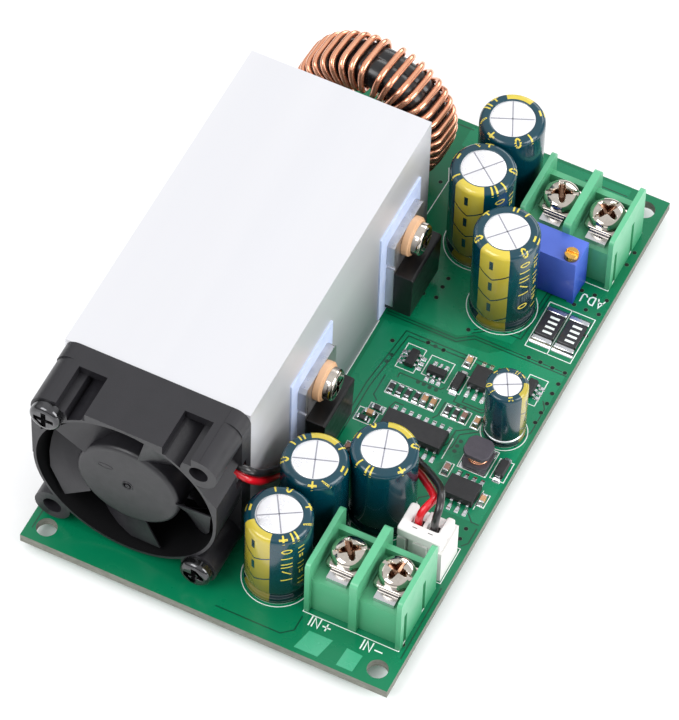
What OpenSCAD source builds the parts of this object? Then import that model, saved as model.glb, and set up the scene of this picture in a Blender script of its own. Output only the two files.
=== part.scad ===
// Fan-cooled buck converter module: a drilled circuit board that carries a tunnel heatsink,
// a 30 mm fan, an upright ring inductor, seven can capacitors, two barrier terminal blocks,
// two power devices and their small parts.
// Every place is measured from the board's near left corner, with Z = 0 on its top face.
// The model's origin is the middle of the board, on the surface that its solder side rests on.

/* [Board] */
// Width of the board, across the two terminal ways
board_w = 59.8; // [59:0.1:62]
// Length of the board, from the input end to the output end
board_l = 98.8; // [98:0.1:101]
// Thickness of the board
board_t = 1.6; // [1.2:0.1:2]
// Diameter of the four mounting holes
hole_d = 3.2; // [2.8:0.1:3.4]
// Distance of the mounting holes from both edges
hole_inset = 2.9; // [2.6:0.1:3.2]
// Room for leads and screw heads under the board
under_h = 2; // [2:0.1:3]

/* [Heatsink and fan] */
// Width of the heatsink
sink_w = 29.8; // [29:0.1:30]
// Height of the heatsink
sink_h = 30.1; // [30:0.1:31]
// Length of the heatsink
sink_l = 59.4; // [58:0.1:60]
// Place of the heatsink's fan end
sink_y = 15.4; // [15.4:0.1:16]
// Size of the square fan
fan_w = 29.9; // [29.5:0.1:30]
// Depth of the fan
fan_t = 10.8; // [10.4:0.1:10.8]
// Spacing of the fan's screw holes
fan_pitch = 24; // [24:0.1:24.2]
// Number of fan blades
blade_count = 5; // [5:1:9]
// Turn of each blade round the axis, from its front edge to its rear edge
blade_turn = 60; // [40:1:64]

/* [Inductor] */
// Outer diameter of the ring core
core_od = 23.9; // [23:0.1:24.2]
// Inner diameter of the ring core
core_id = 14.2; // [14:0.1:15]
// Width of the ring core along its axis
core_h = 6.9; // [5.5:0.1:7.2]
// Diameter of the winding wire
coil_wire = 1; // [0.8:0.05:1.05]

/* [Terminal blocks] */
// Distance between two ways of a terminal block
way_pitch = 7.6; // [7.5:0.05:7.7]
// Height of the barriers
barrier_h = 11.8; // [11:0.1:12.4]
// Depth of the barriers
barrier_d = 12; // [11.6:0.1:12.4]
// Length that a terminal screw backs out
screw_lift = 2; // [1:0.5:2]

/* [Capacitors] */
// Diameter of the large cans with their sleeve
big_can_d = 10.1; // [9.8:0.05:10.2]
// Height of the three input capacitors
input_can_h = 16.4; // [15:0.1:18]
// Height of the three output capacitors
output_can_h = 18.9; // [17:0.1:20]
// Diameter of the small can with its sleeve
small_can_d = 6.4; // [6:0.05:6.6]
// Height of the small can
small_can_h = 12.2; // [11:0.1:13]

/* [Hidden] */
$fn = 48;
eps = 0.01;

// Board and solder side
under_z = -board_t;
floor_z = under_z - under_h;
lead_drop = 1.5;                // length of a thin lead below the board
solder_h = 1.1;
solder_r = 0.95;

// Fan, with its axis along Y
fan_x = 15;
fan_z = 15.6;
fan_y = sink_y - fan_t;         // front face
fan_bore_d = 28.7;
fan_hole_d = 3;
lug_r = (fan_w - fan_pitch) / 2 - 0.06;
plate_t = 1.4;                  // motor base and struts
hub_d = 16.6;
hub_y = fan_y + 0.9;
hub_l = 6.6;
hub_wall = 0.9;
magnet_wall = 0.9;
blade_tip_r = 13.6;
blade_t = 0.8;
blade_l = 5.6;
blade_start = 77;               // place of the first blade's front edge
shaft_d = 2;
bearing_d = 4.4;
bearing_l = 4.6;
tube_d = 5.6;
wire_angle = 15;                // direction of the fan lead as it leaves the motor base
wire_d = 1.2;

// Heatsink profile
wall_t = 2.6;
base_t = 3;
fin_t = 1;
fin_count = 6;
air_gap = 6;                    // straight air way between the two combs of fins
screw_channel_d = 2.6;
board_screw_x = [4.2, 25.6];
board_screw_y = [20.4, 69.8];

// Ring inductor, with its axis along Y
ring_x = 15.6;
ring_y = 85.8;
ring_z = 13.2;
ring_yaw = -3;                  // the ring stands slightly askew
core_edge_r = 2.2;              // the coated ring's edges are well rounded
turn_step = 8.8;                // angle between two close turns
left_turns = 15;
right_turns = 11;
turn_angles = concat(
    [for (i = [left_turns - 1:-1:0]) 92 + i * turn_step],
    [78, 69.5, 60.5, 52],
    [for (i = [0:right_turns - 1]) 42 - i * turn_step]
);

// Capacitors: [x, y, sleeved diameter, height, lead spacing, mouth of the sleeve]
CAPS = [
    [36.9, 10.7, big_can_d, input_can_h, 5, 6.9],
    [37.3, 21.5, big_can_d, input_can_h, 5, 6.9],
    [45.4, 27.8, big_can_d, input_can_h, 5, 6.9],
    [36.9, 89, big_can_d, output_can_h, 5, 6.9],
    [37, 78.6, big_can_d, output_can_h, 5, 6.9],
    [45.2, 69.55, big_can_d, output_can_h, 5, 6.9],
    [55.3, 48.9, small_can_d, small_can_h, 2.5, 4.3],
];
sleeve_t = 0.15;
can_lead_d = 0.6;

// Terminal blocks: the near left corner of each
BLOCKS = [[42.85, 7.1], [42.85, 79.5]];
barrier_t = 1.25;               // middle barrier
end_barrier_t = 0.8;
bay_w = way_pitch - barrier_t;
block_w = 2 * bay_w + barrier_t + 2 * end_barrier_t;
shelf_z = 7.4;                  // floor of each bay
shelf_inset = 0.85;
back_wall_y = 9.5;
back_wall_z = 9.2;
back_wall_t = 1;
way_y = 6.1;                    // screw centre from the block's front
way_shift = 0.3;                // the metal parts sit a little right of each bay's middle
tongue_y = 1.7;                 // front of the contact
contact_w = 3.3;
contact_t = 0.8;
washer_w = 5.7;
washer_t = 0.7;
screw_d = 3;
screw_fit = 0.04;               // gap round a terminal screw
screw_head_d = 5.6;
screw_head_h = 1.8;
screw_l = 6;

// Power devices on the heatsink: centre along Y
DEVICES = [35.3, 64.9];
pad_x = sink_w;
pad_t = 0.3;
tab_x = pad_x + pad_t;
tab_t = 1.3;
device_w = 10;
device_z = 2;                   // bottom of the moulded body
body_h = 9.2;
tab_h = 15.9;
body_t = 4.5;
device_hole_z = device_z + 13.1;
device_lead_x = tab_x + 2.6;
device_pitch = 2.54;
bush_flange_t = 1.1;
bush_step_t = 0.3;
device_screw_d = 2.9;

// Fan connector
header_x = 51.2;
header_y = 20.5;
header_w = 7.2;
header_d = 5.8;
header_h = 7;
pin_pitch = 2.5;
plug_top = 9.8;
plug_way_x = header_x + header_w / 2;
plug_way_y = header_y + 2.3;
header_pin_w = 0.64;

// Trimmer
trim_x = 45;
trim_y = 74.65;
trim_w = 9.53;
trim_d = 4.83;
trim_h = 9.8;
trim_screw = [trim_w - 1.3, 1.25];
trim_screw_d = 2.2;

// Small parts: [x, y] centres, or [x, y, turned] where 1 means along X
CONTROLLER = [43.55, 42.35];
DRIVERS = [[54.5, 36], [49.4, 55.4]];
SMALL_TRANSISTORS = [[37.5, 54.3, 0], [41.9, 53.7, 1], [55.6, 57.4, 0]];
DIODES = [[58.1, 42.3], [45.5, 53.6]];
SHUNTS = [[53.3, 69.1], [57, 69.1]];
RESISTORS = [
    [37, 48.4, 0], [38.35, 48.4, 0], [39.7, 48.4, 0], [41.1, 48.5, 0],
    [46.3, 48.4, 0], [47.65, 48.4, 0], [36.7, 44, 1], [35.5, 41.4, 1],
];
CERAMICS = [
    [42.45, 48.5, 0], [43.8, 48.5, 0], [49, 48.4, 0], [45.3, 57.9, 0], [51.1, 48.4, 0],
    [50.7, 38.9, 0], [57.85, 36.2, 0], [36.2, 42.6, 1], [36, 35.6, 0],
];
choke_at = [54.1, 42.5];
CHIP = [0.8, 1.6, 0.5];         // a small chip part
SHUNT = [3.2, 6.35, 0.65];

// Routes of the fan lead, from the motor's circuit board to the plug
red_route = [
    [20.6, 13.2, 16.4], [24.35, 13.2, 17.6], [27.9, 13.15, 18.6], [29.5, 13.05, 18.1],
    [30.75, 13.75, 16.8], [31, 16.2, 13.4], [31, 19.8, 9.4], [31, 23, 6.6], [31.4, 26.2, 5.4],
    [33.4, 28.4, 5], [36.8, 29.6, 4.8], [40.4, 32.4, 4.9], [44.4, 34.2, 5], [48.6, 32.6, 6.2],
    [51.3, 30, 8.5], [53.6, 27.2, 11], [54.5, 25.6, 12.2], [54.3, 24.2, 12.4],
    [53.8, 23.1, 11.6], [53.55, 22.8, 10], [53.55, 22.8, 8],
];
black_route = [
    [20.2, 13.2, 17.7], [24, 13.2, 18.9], [27.6, 13.2, 19.9], [29.4, 13.1, 20.1],
    [30.8, 13.6, 19.2], [31.2, 15.4, 16.6], [31, 18.7, 12.5], [31, 22.5, 8.5], [31.4, 26.3, 6.8],
    [33.6, 28.7, 6.3], [36.9, 30.4, 6.1], [40.2, 33.2, 6.2], [44.4, 35.6, 6.3], [49, 33.2, 7.5],
    [51.7, 30.8, 9.8], [54.5, 27.8, 12.2], [55.6, 25.6, 13.4], [56.1, 24.1, 13.2],
    [56.15, 23.1, 12], [56.05, 22.8, 10.2], [56.05, 22.8, 8],
];

// ---------------------------------------------------------------- helpers

// Moves board places into the model's own frame
module on_board() translate([-board_w / 2, -board_l / 2, -floor_z]) children();

// A profile drawn as [x, z], run along Y
module along_y(y, length) translate([0, y + length, 0]) rotate([90, 0, 0]) linear_extrude(length) children();

// A profile drawn as [y, z], run along X
module along_x(x, length) translate([x, 0, 0]) rotate([90, 0, 90]) linear_extrude(length) children();

// A cylinder whose axis runs along +Y
module rod_y(d, h) rotate([-90, 0, 0]) cylinder(d = d, h = h);

// A cylinder whose axis runs along +X
module rod_x(d, h) rotate([0, 90, 0]) cylinder(d = d, h = h);

// A flat square with rounded corners
module rounded_square(w, h, r) {
    translate([r, 0]) square([w - 2 * r, h]);
    translate([0, r]) square([w, h - 2 * r]);
    for (x = [r, w - r], y = [r, h - r]) translate([x, y]) circle(r);
}

// A cross recess, cut from the face at z = 0
module cross_recess(size, depth) {
    for (a = [0, 90]) rotate(a) translate([-size / 2, -size / 8, -depth]) cube([size, size / 4, depth + 1]);
}

// A pan head with its seat at z = 0 and its shank below
module pan_screw(head_d, head_h, shank_d, shank_l) {
    edge = head_h * 0.45;
    difference() {
        union() {
            rotate_extrude() {
                square([head_d / 2, head_h - edge]);
                square([head_d / 2 - edge, head_h]);
                translate([head_d / 2 - edge, head_h - edge]) circle(edge);
            }
            translate([0, 0, -shank_l]) cylinder(d = shank_d, h = shank_l + eps);
        }
        translate([0, 0, head_h]) cross_recess(head_d * 0.62, head_h * 0.55);
    }
}

function unit(v) = v / norm(v);

// Catmull-Rom curve through a list of points
function curve_at(a, b, c, d, t) =
    0.5 * (2 * b + (c - a) * t + (2 * a - 5 * b + 4 * c - d) * t * t + (3 * b - a - 3 * c + d) * t * t * t);
function smooth(p, steps) = [
    for (i = [0:len(p) - 2], s = [0:steps - 1])
        curve_at(p[max(i - 1, 0)], p[i], p[i + 1], p[min(i + 2, len(p) - 1)], s / steps),
    p[len(p) - 1],
];
function tangent(p, i) = unit(p[min(i + 1, len(p) - 1)] - p[max(i - 1, 0)]);
function side_step(u, t) = unit(u - (u * t) * t);
function sides(p, i, u, acc) =
    i == len(p) ? acc : let (v = side_step(u, tangent(p, i))) sides(p, i + 1, v, concat(acc, [v]));

// A round tube swept along a list of points
module tube(p, d, n, start_side) {
    u = sides(p, 0, start_side, []);
    rings = [
        for (i = [0:len(p) - 1])
            let (t = tangent(p, i), w = cross(t, u[i]))
                for (k = [0:n - 1]) p[i] + d / 2 * (cos(360 * k / n) * u[i] + sin(360 * k / n) * w)
    ];
    last = (len(p) - 1) * n;
    faces = concat(
        [[for (k = [0:n - 1]) k]],
        [for (i = [0:len(p) - 2], k = [0:n - 1])
            [i * n + k, (i + 1) * n + k, (i + 1) * n + (k + 1) % n, i * n + (k + 1) % n]],
        [[for (k = [n - 1:-1:0]) last + k]]
    );
    polyhedron(rings, faces, convexity = 10);
}

// ---------------------------------------------------------------- leads and board

function can_leads(c) = [for (s = [-1, 1]) [c[0] + s * c[4] / 2, c[1], can_lead_d]];
function way_x(block, way) = block[0] + end_barrier_t + bay_w / 2 + way_shift + way * way_pitch;
function contact_pins(b) = [for (w = [0, 1], s = [-1, 1]) [way_x(b, w) + s * 1.6, b[1] + way_y, 1]];
function device_leads(y) = [for (i = [-1:1]) [device_lead_x, y + i * device_pitch, 0.8]];

// A point at radius r and angle a round the ring, y away from its middle
function on_ring(r, a, y) = [
    ring_x + r * cos(a) * cos(ring_yaw) - y * sin(ring_yaw),
    ring_y + r * cos(a) * sin(ring_yaw) + y * cos(ring_yaw),
    ring_z + r * sin(a),
];
function coil_end(a) = let (p = on_ring((core_od + coil_wire) / 2, a, -(core_h + coil_wire) / 2))
    [p[0], p[1], coil_wire];
coil_first = turn_angles[0] + turn_step * 0.8;
coil_last = turn_angles[len(turn_angles) - 1] - turn_step * 0.8;
trimmer_leads = [for (i = [-1:1]) [trim_x + trim_w / 2 + i * 2.54, trim_y + trim_d / 2, 0.6]];
header_leads = [for (s = [-1, 1]) [plug_way_x + s * pin_pitch / 2, plug_way_y, 0.9]];
THIN_LEADS = concat(
    [for (c = CAPS) each can_leads(c)],
    [for (y = DEVICES) each device_leads(y)],
    [coil_end(coil_first), coil_end(coil_last)],
    trimmer_leads,
    header_leads
);
CONTACT_LEADS = [for (b = BLOCKS) each contact_pins(b)];

module mounting_holes() {
    for (x = [hole_inset, board_w - hole_inset], y = [hole_inset, board_l - hole_inset])
        translate([x, y, under_z - 1]) cylinder(d = hole_d, h = board_t + 2);
}

module pcb() {
    color("seagreen") difference() {
        translate([0, 0, under_z]) cube([board_w, board_l, board_t]);
        mounting_holes();
        for (p = concat(THIN_LEADS, CONTACT_LEADS))
            translate([p[0], p[1], under_z - 1]) cylinder(d = p[2], h = board_t + 2);
        for (x = board_screw_x, y = board_screw_y)
            translate([x, y, under_z - 1]) cylinder(d = 3.2, h = board_t + 2);
    }
}

module solder_cone(p, h) {
    translate([p[0], p[1], under_z - h]) difference() {
        cylinder(r1 = p[2] / 2 + 0.12, r2 = solder_r + p[2] / 4, h = h);
        translate([0, 0, -1]) cylinder(d = p[2], h = h + 2);
    }
}

module solder_joints() {
    color("silver") {
        for (p = THIN_LEADS) solder_cone(p, solder_h);
        for (p = CONTACT_LEADS) solder_cone(p, solder_h * 1.4);
    }
}

module lead(p, top, drop) translate([p[0], p[1], under_z - drop]) cylinder(d = p[2], h = top - under_z + drop);

// ---------------------------------------------------------------- heatsink

module heatsink_profile() {
    inner_h = sink_h - 2 * base_t;
    fin_step = inner_h / (fin_count + 1);
    fin_l = (sink_w - air_gap) / 2 - wall_t;
    difference() {
        square([sink_w, sink_h]);
        translate([wall_t, base_t]) square([sink_w - 2 * wall_t, inner_h]);
    }
    for (i = [1:fin_count]) translate([0, base_t + i * fin_step - fin_t / 2]) {
        translate([wall_t - eps, 0]) square([fin_l, fin_t]);
        translate([sink_w - wall_t - fin_l + eps, 0]) square([fin_l, fin_t]);
    }
}

module heatsink() {
    corner = 2 * (sink_w / 2 - fan_pitch / 2) + 0.4;
    color("gainsboro") difference() {
        union() {
            along_y(sink_y, sink_l) heatsink_profile();
            for (s = [-1, 1], t = [-1, 1])
                translate([fan_x + s * fan_pitch / 2, sink_y, fan_z + t * fan_pitch / 2])
                    rod_y(corner - 1, sink_l);
        }
        for (s = [-1, 1], t = [-1, 1])
            translate([fan_x + s * fan_pitch / 2, sink_y - 1, fan_z + t * fan_pitch / 2])
                rod_y(screw_channel_d, sink_l + 2);
        for (x = board_screw_x, y = board_screw_y)
            translate([x, y, -1]) cylinder(d = 2.6, h = base_t + 1.5);
        for (y = DEVICES)
            translate([sink_w - wall_t - 1, y, device_hole_z]) rod_x(device_screw_d, wall_t + 2);
        translate([-1, sink_y - 1, sink_h]) cube([sink_w + 2, sink_l + 2, 2]);
    }
}

module heatsink_screws() {
    color("dimgray") for (x = board_screw_x, y = board_screw_y)
        translate([x, y, under_z]) rotate([180, 0, 0]) pan_screw(5.2, under_h, 2.6, board_t + 2.4);
}

// ---------------------------------------------------------------- fan

module at_fan() translate([fan_x, fan_y, fan_z]) children();

// Places four children at the fan's corners
module fan_corners() for (s = [-1, 1], t = [-1, 1]) translate([s * fan_pitch / 2, 0, t * fan_pitch / 2]) children();

module fan_barrel() {
    half = fan_w / 2 - 0.08;
    flat = 5.2;
    rod_y(2 * half - 0.1, fan_t);
    along_y(0, fan_t) polygon([[-half, 0], [half, 0], [half, flat], [flat, half], [-flat, half], [-half, flat]]);
}

module fan_frame() {
    half = fan_w / 2;
    flange_t = 2.8;
    top_t = 1.5;
    color([0.13, 0.13, 0.14]) at_fan() difference() {
        union() {
            difference() {
                union() {
                    fan_barrel();
                    fan_corners() rod_y(2 * lug_r, fan_t);
                    along_y(fan_t - flange_t, flange_t)
                        translate([0.04 - half, 0.04 - half]) rounded_square(fan_w - 0.08, fan_w - 0.08, 2.4);
                    translate([-fan_pitch / 2, 0, half - top_t]) cube([fan_pitch, fan_t - 0.05, top_t]);
                    translate([0.02 - half, 0, 0]) cube([top_t, fan_t - 1, fan_pitch / 2]);
                }
                translate([0, -1, 0]) rod_y(fan_bore_d, fan_t - plate_t + 1);
                translate([0, fan_t - plate_t - eps, 0]) rod_y(fan_bore_d - 0.6, plate_t + 1);
                for (s = [-1, 1]) translate([s * 8.5 - 2.3, -1, half - 1.6]) cube([4.6, 8.2, 3]);
            }
            translate([0, fan_t - plate_t, 0]) rod_y(hub_d, plate_t);
            for (a = [wire_angle, 126, 216, 306]) rotate([0, -a, 0])
                translate([hub_d / 2 - 1, fan_t - plate_t + 0.2, -1.3])
                    cube([fan_bore_d / 2 - hub_d / 2 + 1.4, plate_t - 0.2, 2.6]);
            translate([0, hub_y - fan_y + 2.7, 0]) rod_y(tube_d, fan_t - plate_t - hub_y + fan_y - 2.6);
        }
        fan_corners() translate([0, -1, 0]) rod_y(fan_hole_d, fan_t + 2);
        translate([0, -1, 0]) rod_y(bearing_d, fan_t - plate_t + 1);
        // notch in the side wall, where the lead comes out
        translate([fan_pitch / 2 + 0.2, 6.4, 1.5]) cube([5, 3, 4.2]);
    }
}

// A point of a blade: s runs from root to tip, t from front edge to rear edge, face is -1 or 1.
// The tip turns early, so its front edge lies flatter than the root's.
blade_root_r = hub_d / 2 - 0.4;
function blade_point(s, t, face) =
    let (r = blade_root_r + s * (blade_tip_r - blade_root_r),
        a = -blade_turn * pow(t, 1 - 0.45 * s),
        h = blade_t / 2 * (0.3 + 0.7 * sin(180 * pow(t, 0.6))))
    [r * cos(a), blade_l * t + face * h, r * sin(a)];

module blade() {
    span = 4;
    chord = 6;
    n = 2 * (chord + 1);
    points = [for (i = [0:span]) each concat(
        [for (j = [0:chord]) blade_point(i / span, j / chord, -1)],
        [for (j = [chord:-1:0]) blade_point(i / span, j / chord, 1)]
    )];
    faces = concat(
        [for (i = [0:span - 1], k = [0:n - 1])
            [i * n + k, (i + 1) * n + k, (i + 1) * n + (k + 1) % n, i * n + (k + 1) % n]],
        [for (k = [0:chord - 1]) [k, k + 1, n - 2 - k, n - 1 - k]],
        [for (k = [0:chord - 1]) [span * n + n - 1 - k, span * n + n - 2 - k, span * n + k + 1, span * n + k]]
    );
    polyhedron(points, faces, convexity = 6);
}

module fan_impeller() {
    lip = 0.7;
    color([0.16, 0.16, 0.17]) translate([fan_x, hub_y, fan_z]) {
        difference() {
            rotate([-90, 0, 0]) rotate_extrude() {
                difference() {
                    union() {
                        translate([0, lip]) square([hub_d / 2, hub_l - lip]);
                        square([hub_d / 2 - lip, hub_l]);
                        translate([hub_d / 2 - lip, lip]) circle(lip);
                    }
                    translate([0, 1]) square([hub_d / 2 - hub_wall, hub_l]);
                }
                square([1.9, 2.4]);
            }
            translate([0, 0.6, 0]) rod_y(shaft_d, 4);
            translate([0, -1, 0]) rod_y(1.3, 1.3);
        }
        for (i = [0:blade_count - 1]) rotate([0, i * 360 / blade_count - blade_start, 0]) blade();
    }
}

module fan_shaft() {
    color("silver") translate([fan_x, hub_y + 0.6, fan_z]) rod_y(shaft_d, 7.2);
}

module fan_bearing() {
    color("peru") translate([fan_x, fan_y + fan_t - plate_t - bearing_l, fan_z]) difference() {
        rod_y(bearing_d, bearing_l);
        translate([0, -1, 0]) rod_y(shaft_d + 0.04, bearing_l + 2);
    }
}

module fan_magnet_ring() {
    outer = hub_d - 2 * hub_wall;
    color("dimgray") translate([fan_x, hub_y + 1.2, fan_z]) difference() {
        rod_y(outer, hub_l - 1.5);
        translate([0, -1, 0]) rod_y(outer - 2 * magnet_wall, hub_l + 1);
    }
}

// The stator's four poles reach out to just inside the magnet ring
stator_y = hub_y + 2.6;
stator_l = 3;
stator_r = hub_d / 2 - hub_wall - magnet_wall - 0.4;

module fan_stator_core() {
    color("slategray") translate([fan_x, stator_y, fan_z]) difference() {
        intersection() {
            rod_y(2 * stator_r, stator_l);
            union() {
                rod_y(7, stator_l);
                for (a = [0:90:270]) rotate([0, a, 0]) {
                    translate([0, 0, -0.7]) cube([stator_r, stator_l, 1.4]);
                    translate([stator_r - 0.8, 0, -2.9]) cube([2, stator_l, 5.8]);
                }
            }
        }
        translate([0, -1, 0]) rod_y(tube_d, stator_l + 2);
    }
}

module fan_stator_coils() {
    length = stator_r - 0.85 - 3.55;
    color("chocolate") translate([fan_x, stator_y, fan_z]) for (a = [0:90:270]) rotate([0, a, 0])
        translate([3.55, 0, 0]) difference() {
            translate([0, -0.5, -1.5]) cube([length, stator_l + 1, 3]);
            translate([-1, 0, -0.7]) cube([length + 2, stator_l, 1.4]);
        }
}

module fan_circuit_board() {
    color("darkgreen") translate([fan_x, fan_y + fan_t - plate_t - 2.2, fan_z]) difference() {
        rod_y(12.6, 0.8);
        translate([0, -1, 0]) rod_y(tube_d, 3);
    }
}

module fan_screws() {
    color([0.08, 0.08, 0.08]) for (s = [-1, 1])
        translate([fan_x + s * fan_pitch / 2, fan_y, fan_z - s * fan_pitch / 2])
            rotate([90, 0, 0]) pan_screw(5, 1.7, screw_channel_d, fan_t + 3.5);
}

// ---------------------------------------------------------------- fan lead and connector

module fan_red_wire() {
    color("crimson") tube(smooth(red_route, 3), wire_d, 8, [0, 1, 0]);
}

module fan_black_wire() {
    color([0.1, 0.1, 0.1]) tube(smooth(black_route, 3), wire_d, 8, [0, 1, 0]);
}

module fan_header() {
    wall = 0.8;
    color("whitesmoke") difference() {
        translate([header_x, header_y, 0]) cube([header_w, header_d, header_h]);
        translate([header_x + wall, header_y + wall, 1.2])
            cube([header_w - 2 * wall, header_d - 2 * wall, header_h]);
        for (s = [-1, 1]) translate([plug_way_x + s * 1.7 - 0.6, header_y - 1, 3.2]) cube([1.2, 2, header_h]);
        for (p = header_leads) translate([p[0], p[1], -1]) cylinder(d = 0.9, h = 3);
    }
}

module fan_header_pins() {
    color("gold") for (p = header_leads) {
        lead(p, 1.2, lead_drop);
        translate([p[0] - header_pin_w / 2, p[1] - header_pin_w / 2, 1]) cube([header_pin_w, header_pin_w, 4.6]);
    }
}

module fan_plug() {
    wall = 0.8;
    gap = 0.1;
    inner_w = header_w - 2 * wall - 2 * gap;
    color("white") difference() {
        union() {
            translate([header_x + wall + gap, header_y + wall + gap, 2])
                cube([inner_w, header_d - 2 * wall - 2 * gap, plug_top - 2]);
            translate([header_x + 0.1, header_y + 0.1, header_h])
                cube([header_w - 0.2, 4.1, plug_top - header_h]);
        }
        for (p = header_leads) {
            translate([p[0] - 0.6, p[1] - 0.6, 1]) cube([1.2, 1.2, 6]);
            translate([p[0], p[1], 1]) cylinder(d = 1.3, h = 10);
        }
    }
}

// ---------------------------------------------------------------- ring inductor

module toroid_core() {
    ring_w = (core_od - core_id) / 2;
    color([0.12, 0.12, 0.13]) translate([ring_x, ring_y, ring_z]) rotate([0, 0, ring_yaw])
        translate([0, -core_h / 2, 0]) rotate([-90, 0, 0])
            rotate_extrude() translate([core_id / 2, 0]) rounded_square(ring_w, core_h, core_edge_r);
}

// A turn's bend is one short chord round each rounded edge of the ring
coil_gap = 0.04;
outer_r = (core_od + coil_wire) / 2 + coil_gap;
inner_r = (core_id - coil_wire) / 2 - coil_gap;
face_y = (core_h + coil_wire) / 2 + coil_gap;
bend = 1.6;
function turn_points(a, next) = [
    on_ring(outer_r, a + 1.5, bend - face_y), on_ring(outer_r, a - 1, face_y - bend),
    on_ring(outer_r - bend, a - 1, face_y), on_ring(inner_r + bend, a - 0.5, face_y),
    on_ring(inner_r, a - 0.5, face_y - bend), on_ring(inner_r, next + 0.5, bend - face_y),
    on_ring(inner_r + bend, next + 0.5, -face_y), on_ring(outer_r - bend, next + 1.5, -face_y),
];
last_turn = len(turn_angles) - 1;
function next_angle(i) = i < last_turn ? turn_angles[i + 1] : coil_last;
function coil_foot(a, z) = let (p = coil_end(a)) [p[0], p[1], z];
coil_path = concat(
    [coil_foot(coil_first, under_z - lead_drop), coil_foot(coil_first, 1.2)],
    [on_ring(outer_r - bend, coil_first - 3, -face_y)],
    [for (i = [0:last_turn]) each turn_points(turn_angles[i], next_angle(i))],
    [coil_foot(coil_last, 1.2), coil_foot(coil_last, under_z - lead_drop)]
);

module toroid_winding() {
    color("peru") tube(coil_path, coil_wire, 8, [0, 1, 0]);
}

// ---------------------------------------------------------------- capacitors

// Half section of a can or of its sleeve, grown outward by the given amount
module can_section(r, h, grow) {
    top_r = 0.7 + grow;
    difference() {
        union() {
            square([r + grow - top_r, h + grow]);
            square([r + grow, h + grow - top_r]);
            translate([r + grow - top_r, h + grow - top_r]) circle(top_r);
        }
        translate([r + 0.35, 2]) circle(0.65 - grow);
    }
}

module capacitor(i) {
    c = CAPS[i];
    r = c[2] / 2 - sleeve_t;
    h = c[3] - sleeve_t;
    color("silver") difference() {
        union() {
            translate([c[0], c[1], 0]) rotate_extrude() can_section(r, h, 0);
            for (p = can_leads(c)) lead(p, 0.1, lead_drop);
        }
        for (a = [15, 105]) translate([c[0], c[1], h]) rotate(a)
            translate([-c[5] / 2 + 0.3, -0.2, -0.15]) cube([c[5] - 0.6, 0.4, 1]);
    }
}

module capacitor_sleeves() {
    color([0.05, 0.3, 0.32]) for (c = CAPS) {
        r = c[2] / 2 - sleeve_t;
        h = c[3] - sleeve_t;
        translate([c[0], c[1], 0]) rotate_extrude() difference() {
            can_section(r, h, sleeve_t);
            can_section(r, h, 0);
            square([c[5] / 2, c[3] + 1]);
            square([c[2], 0.3]);
        }
    }
}

// ---------------------------------------------------------------- terminal blocks

module barrier(x, t) {
    r = 0.9;
    translate([x, 0, 0]) difference() {
        along_x(0, t) {
            square([barrier_d, barrier_h - r]);
            translate([r, 0]) square([barrier_d - 2 * r, barrier_h]);
            for (y = [r, barrier_d - r]) translate([y, barrier_h - r]) circle(r);
        }
    }
}

module terminal_housing(b) {
    mid_x = end_barrier_t + bay_w;
    right_x = block_w - end_barrier_t;
    color([0.4, 0.76, 0.55]) translate([b[0], b[1], 0]) difference() {
        union() {
            translate([0, shelf_inset, 0]) cube([block_w, back_wall_y + back_wall_t - shelf_inset, shelf_z]);
            translate([0, back_wall_y, 0]) cube([block_w, back_wall_t, back_wall_z]);
            barrier(0, end_barrier_t);
            barrier(mid_x, barrier_t);
            barrier(right_x, end_barrier_t);
        }
        for (way = [0, 1]) {
            x = way_x(b, way) - b[0];
            // slot where the contact folds down in front, and its room behind the screw
            translate([x - contact_w / 2, tongue_y, 2]) cube([contact_w, contact_t, shelf_z]);
            translate([x - contact_w / 2, way_y + 2.2, 2]) cube([contact_w, contact_t, shelf_z]);
            translate([x, way_y, 2]) cylinder(d = screw_d + 0.6, h = shelf_z);
            for (p = contact_pins(b)) translate([p[0] - b[0], p[1] - b[1], -1]) cylinder(d = p[2], h = shelf_z + 2);
        }
        // dovetail slots on the right end
        for (y = [1.1, 7.3]) translate([block_w - 0.45, y, -1]) cube([1, 0.9, 8.6]);
    }
}

module terminal_contacts(b) {
    color("silver") for (way = [0, 1]) difference() {
        x = way_x(b, way);
        union() {
            translate([x - contact_w / 2, b[1] + tongue_y, shelf_z])
                cube([contact_w, way_y + 2.2 - tongue_y, contact_t]);
            translate([x - contact_w / 2, b[1] + tongue_y, 3]) cube([contact_w, contact_t, shelf_z - 2.9]);
            translate([x - contact_w / 2, b[1] + way_y + 2.2, 3]) cube([contact_w, contact_t, shelf_z - 2.9]);
            translate([x - 2.1, b[1] + way_y - 1.9, shelf_z]) cube([4.2, 3.8, contact_t]);
            for (p = contact_pins(b)) if (abs(p[0] - x) < 2) lead(p, shelf_z + 0.1, under_h);
        }
        translate([x, b[1] + way_y, 0]) cylinder(d = screw_d + 2 * screw_fit, h = 20);
    }
}

function way_of(i) = [way_x(BLOCKS[floor(i / 2)], i % 2), BLOCKS[floor(i / 2)][1] + way_y];
washer_z = shelf_z + contact_t;
washer_top = 1;

module terminal_washer(i) {
    w = way_of(i);
    color("silver") translate([w[0], w[1], washer_z]) difference() {
        union() {
            translate([-washer_w / 2, -washer_w / 2, 0]) cube([washer_w, washer_w, washer_t]);
            translate([0, 0, washer_t - eps]) cylinder(d1 = washer_w - 0.2, d2 = screw_head_d - 0.2, h = washer_top - washer_t + eps);
        }
        translate([0, 0, -1]) cylinder(d = screw_d + 2 * screw_fit, h = 4);
    }
}

module terminal_screw(i) {
    w = way_of(i);
    color("silver") translate([w[0], w[1], washer_z + washer_top])
        pan_screw(screw_head_d, screw_head_h, screw_d, screw_l);
}

// ---------------------------------------------------------------- power devices

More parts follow.
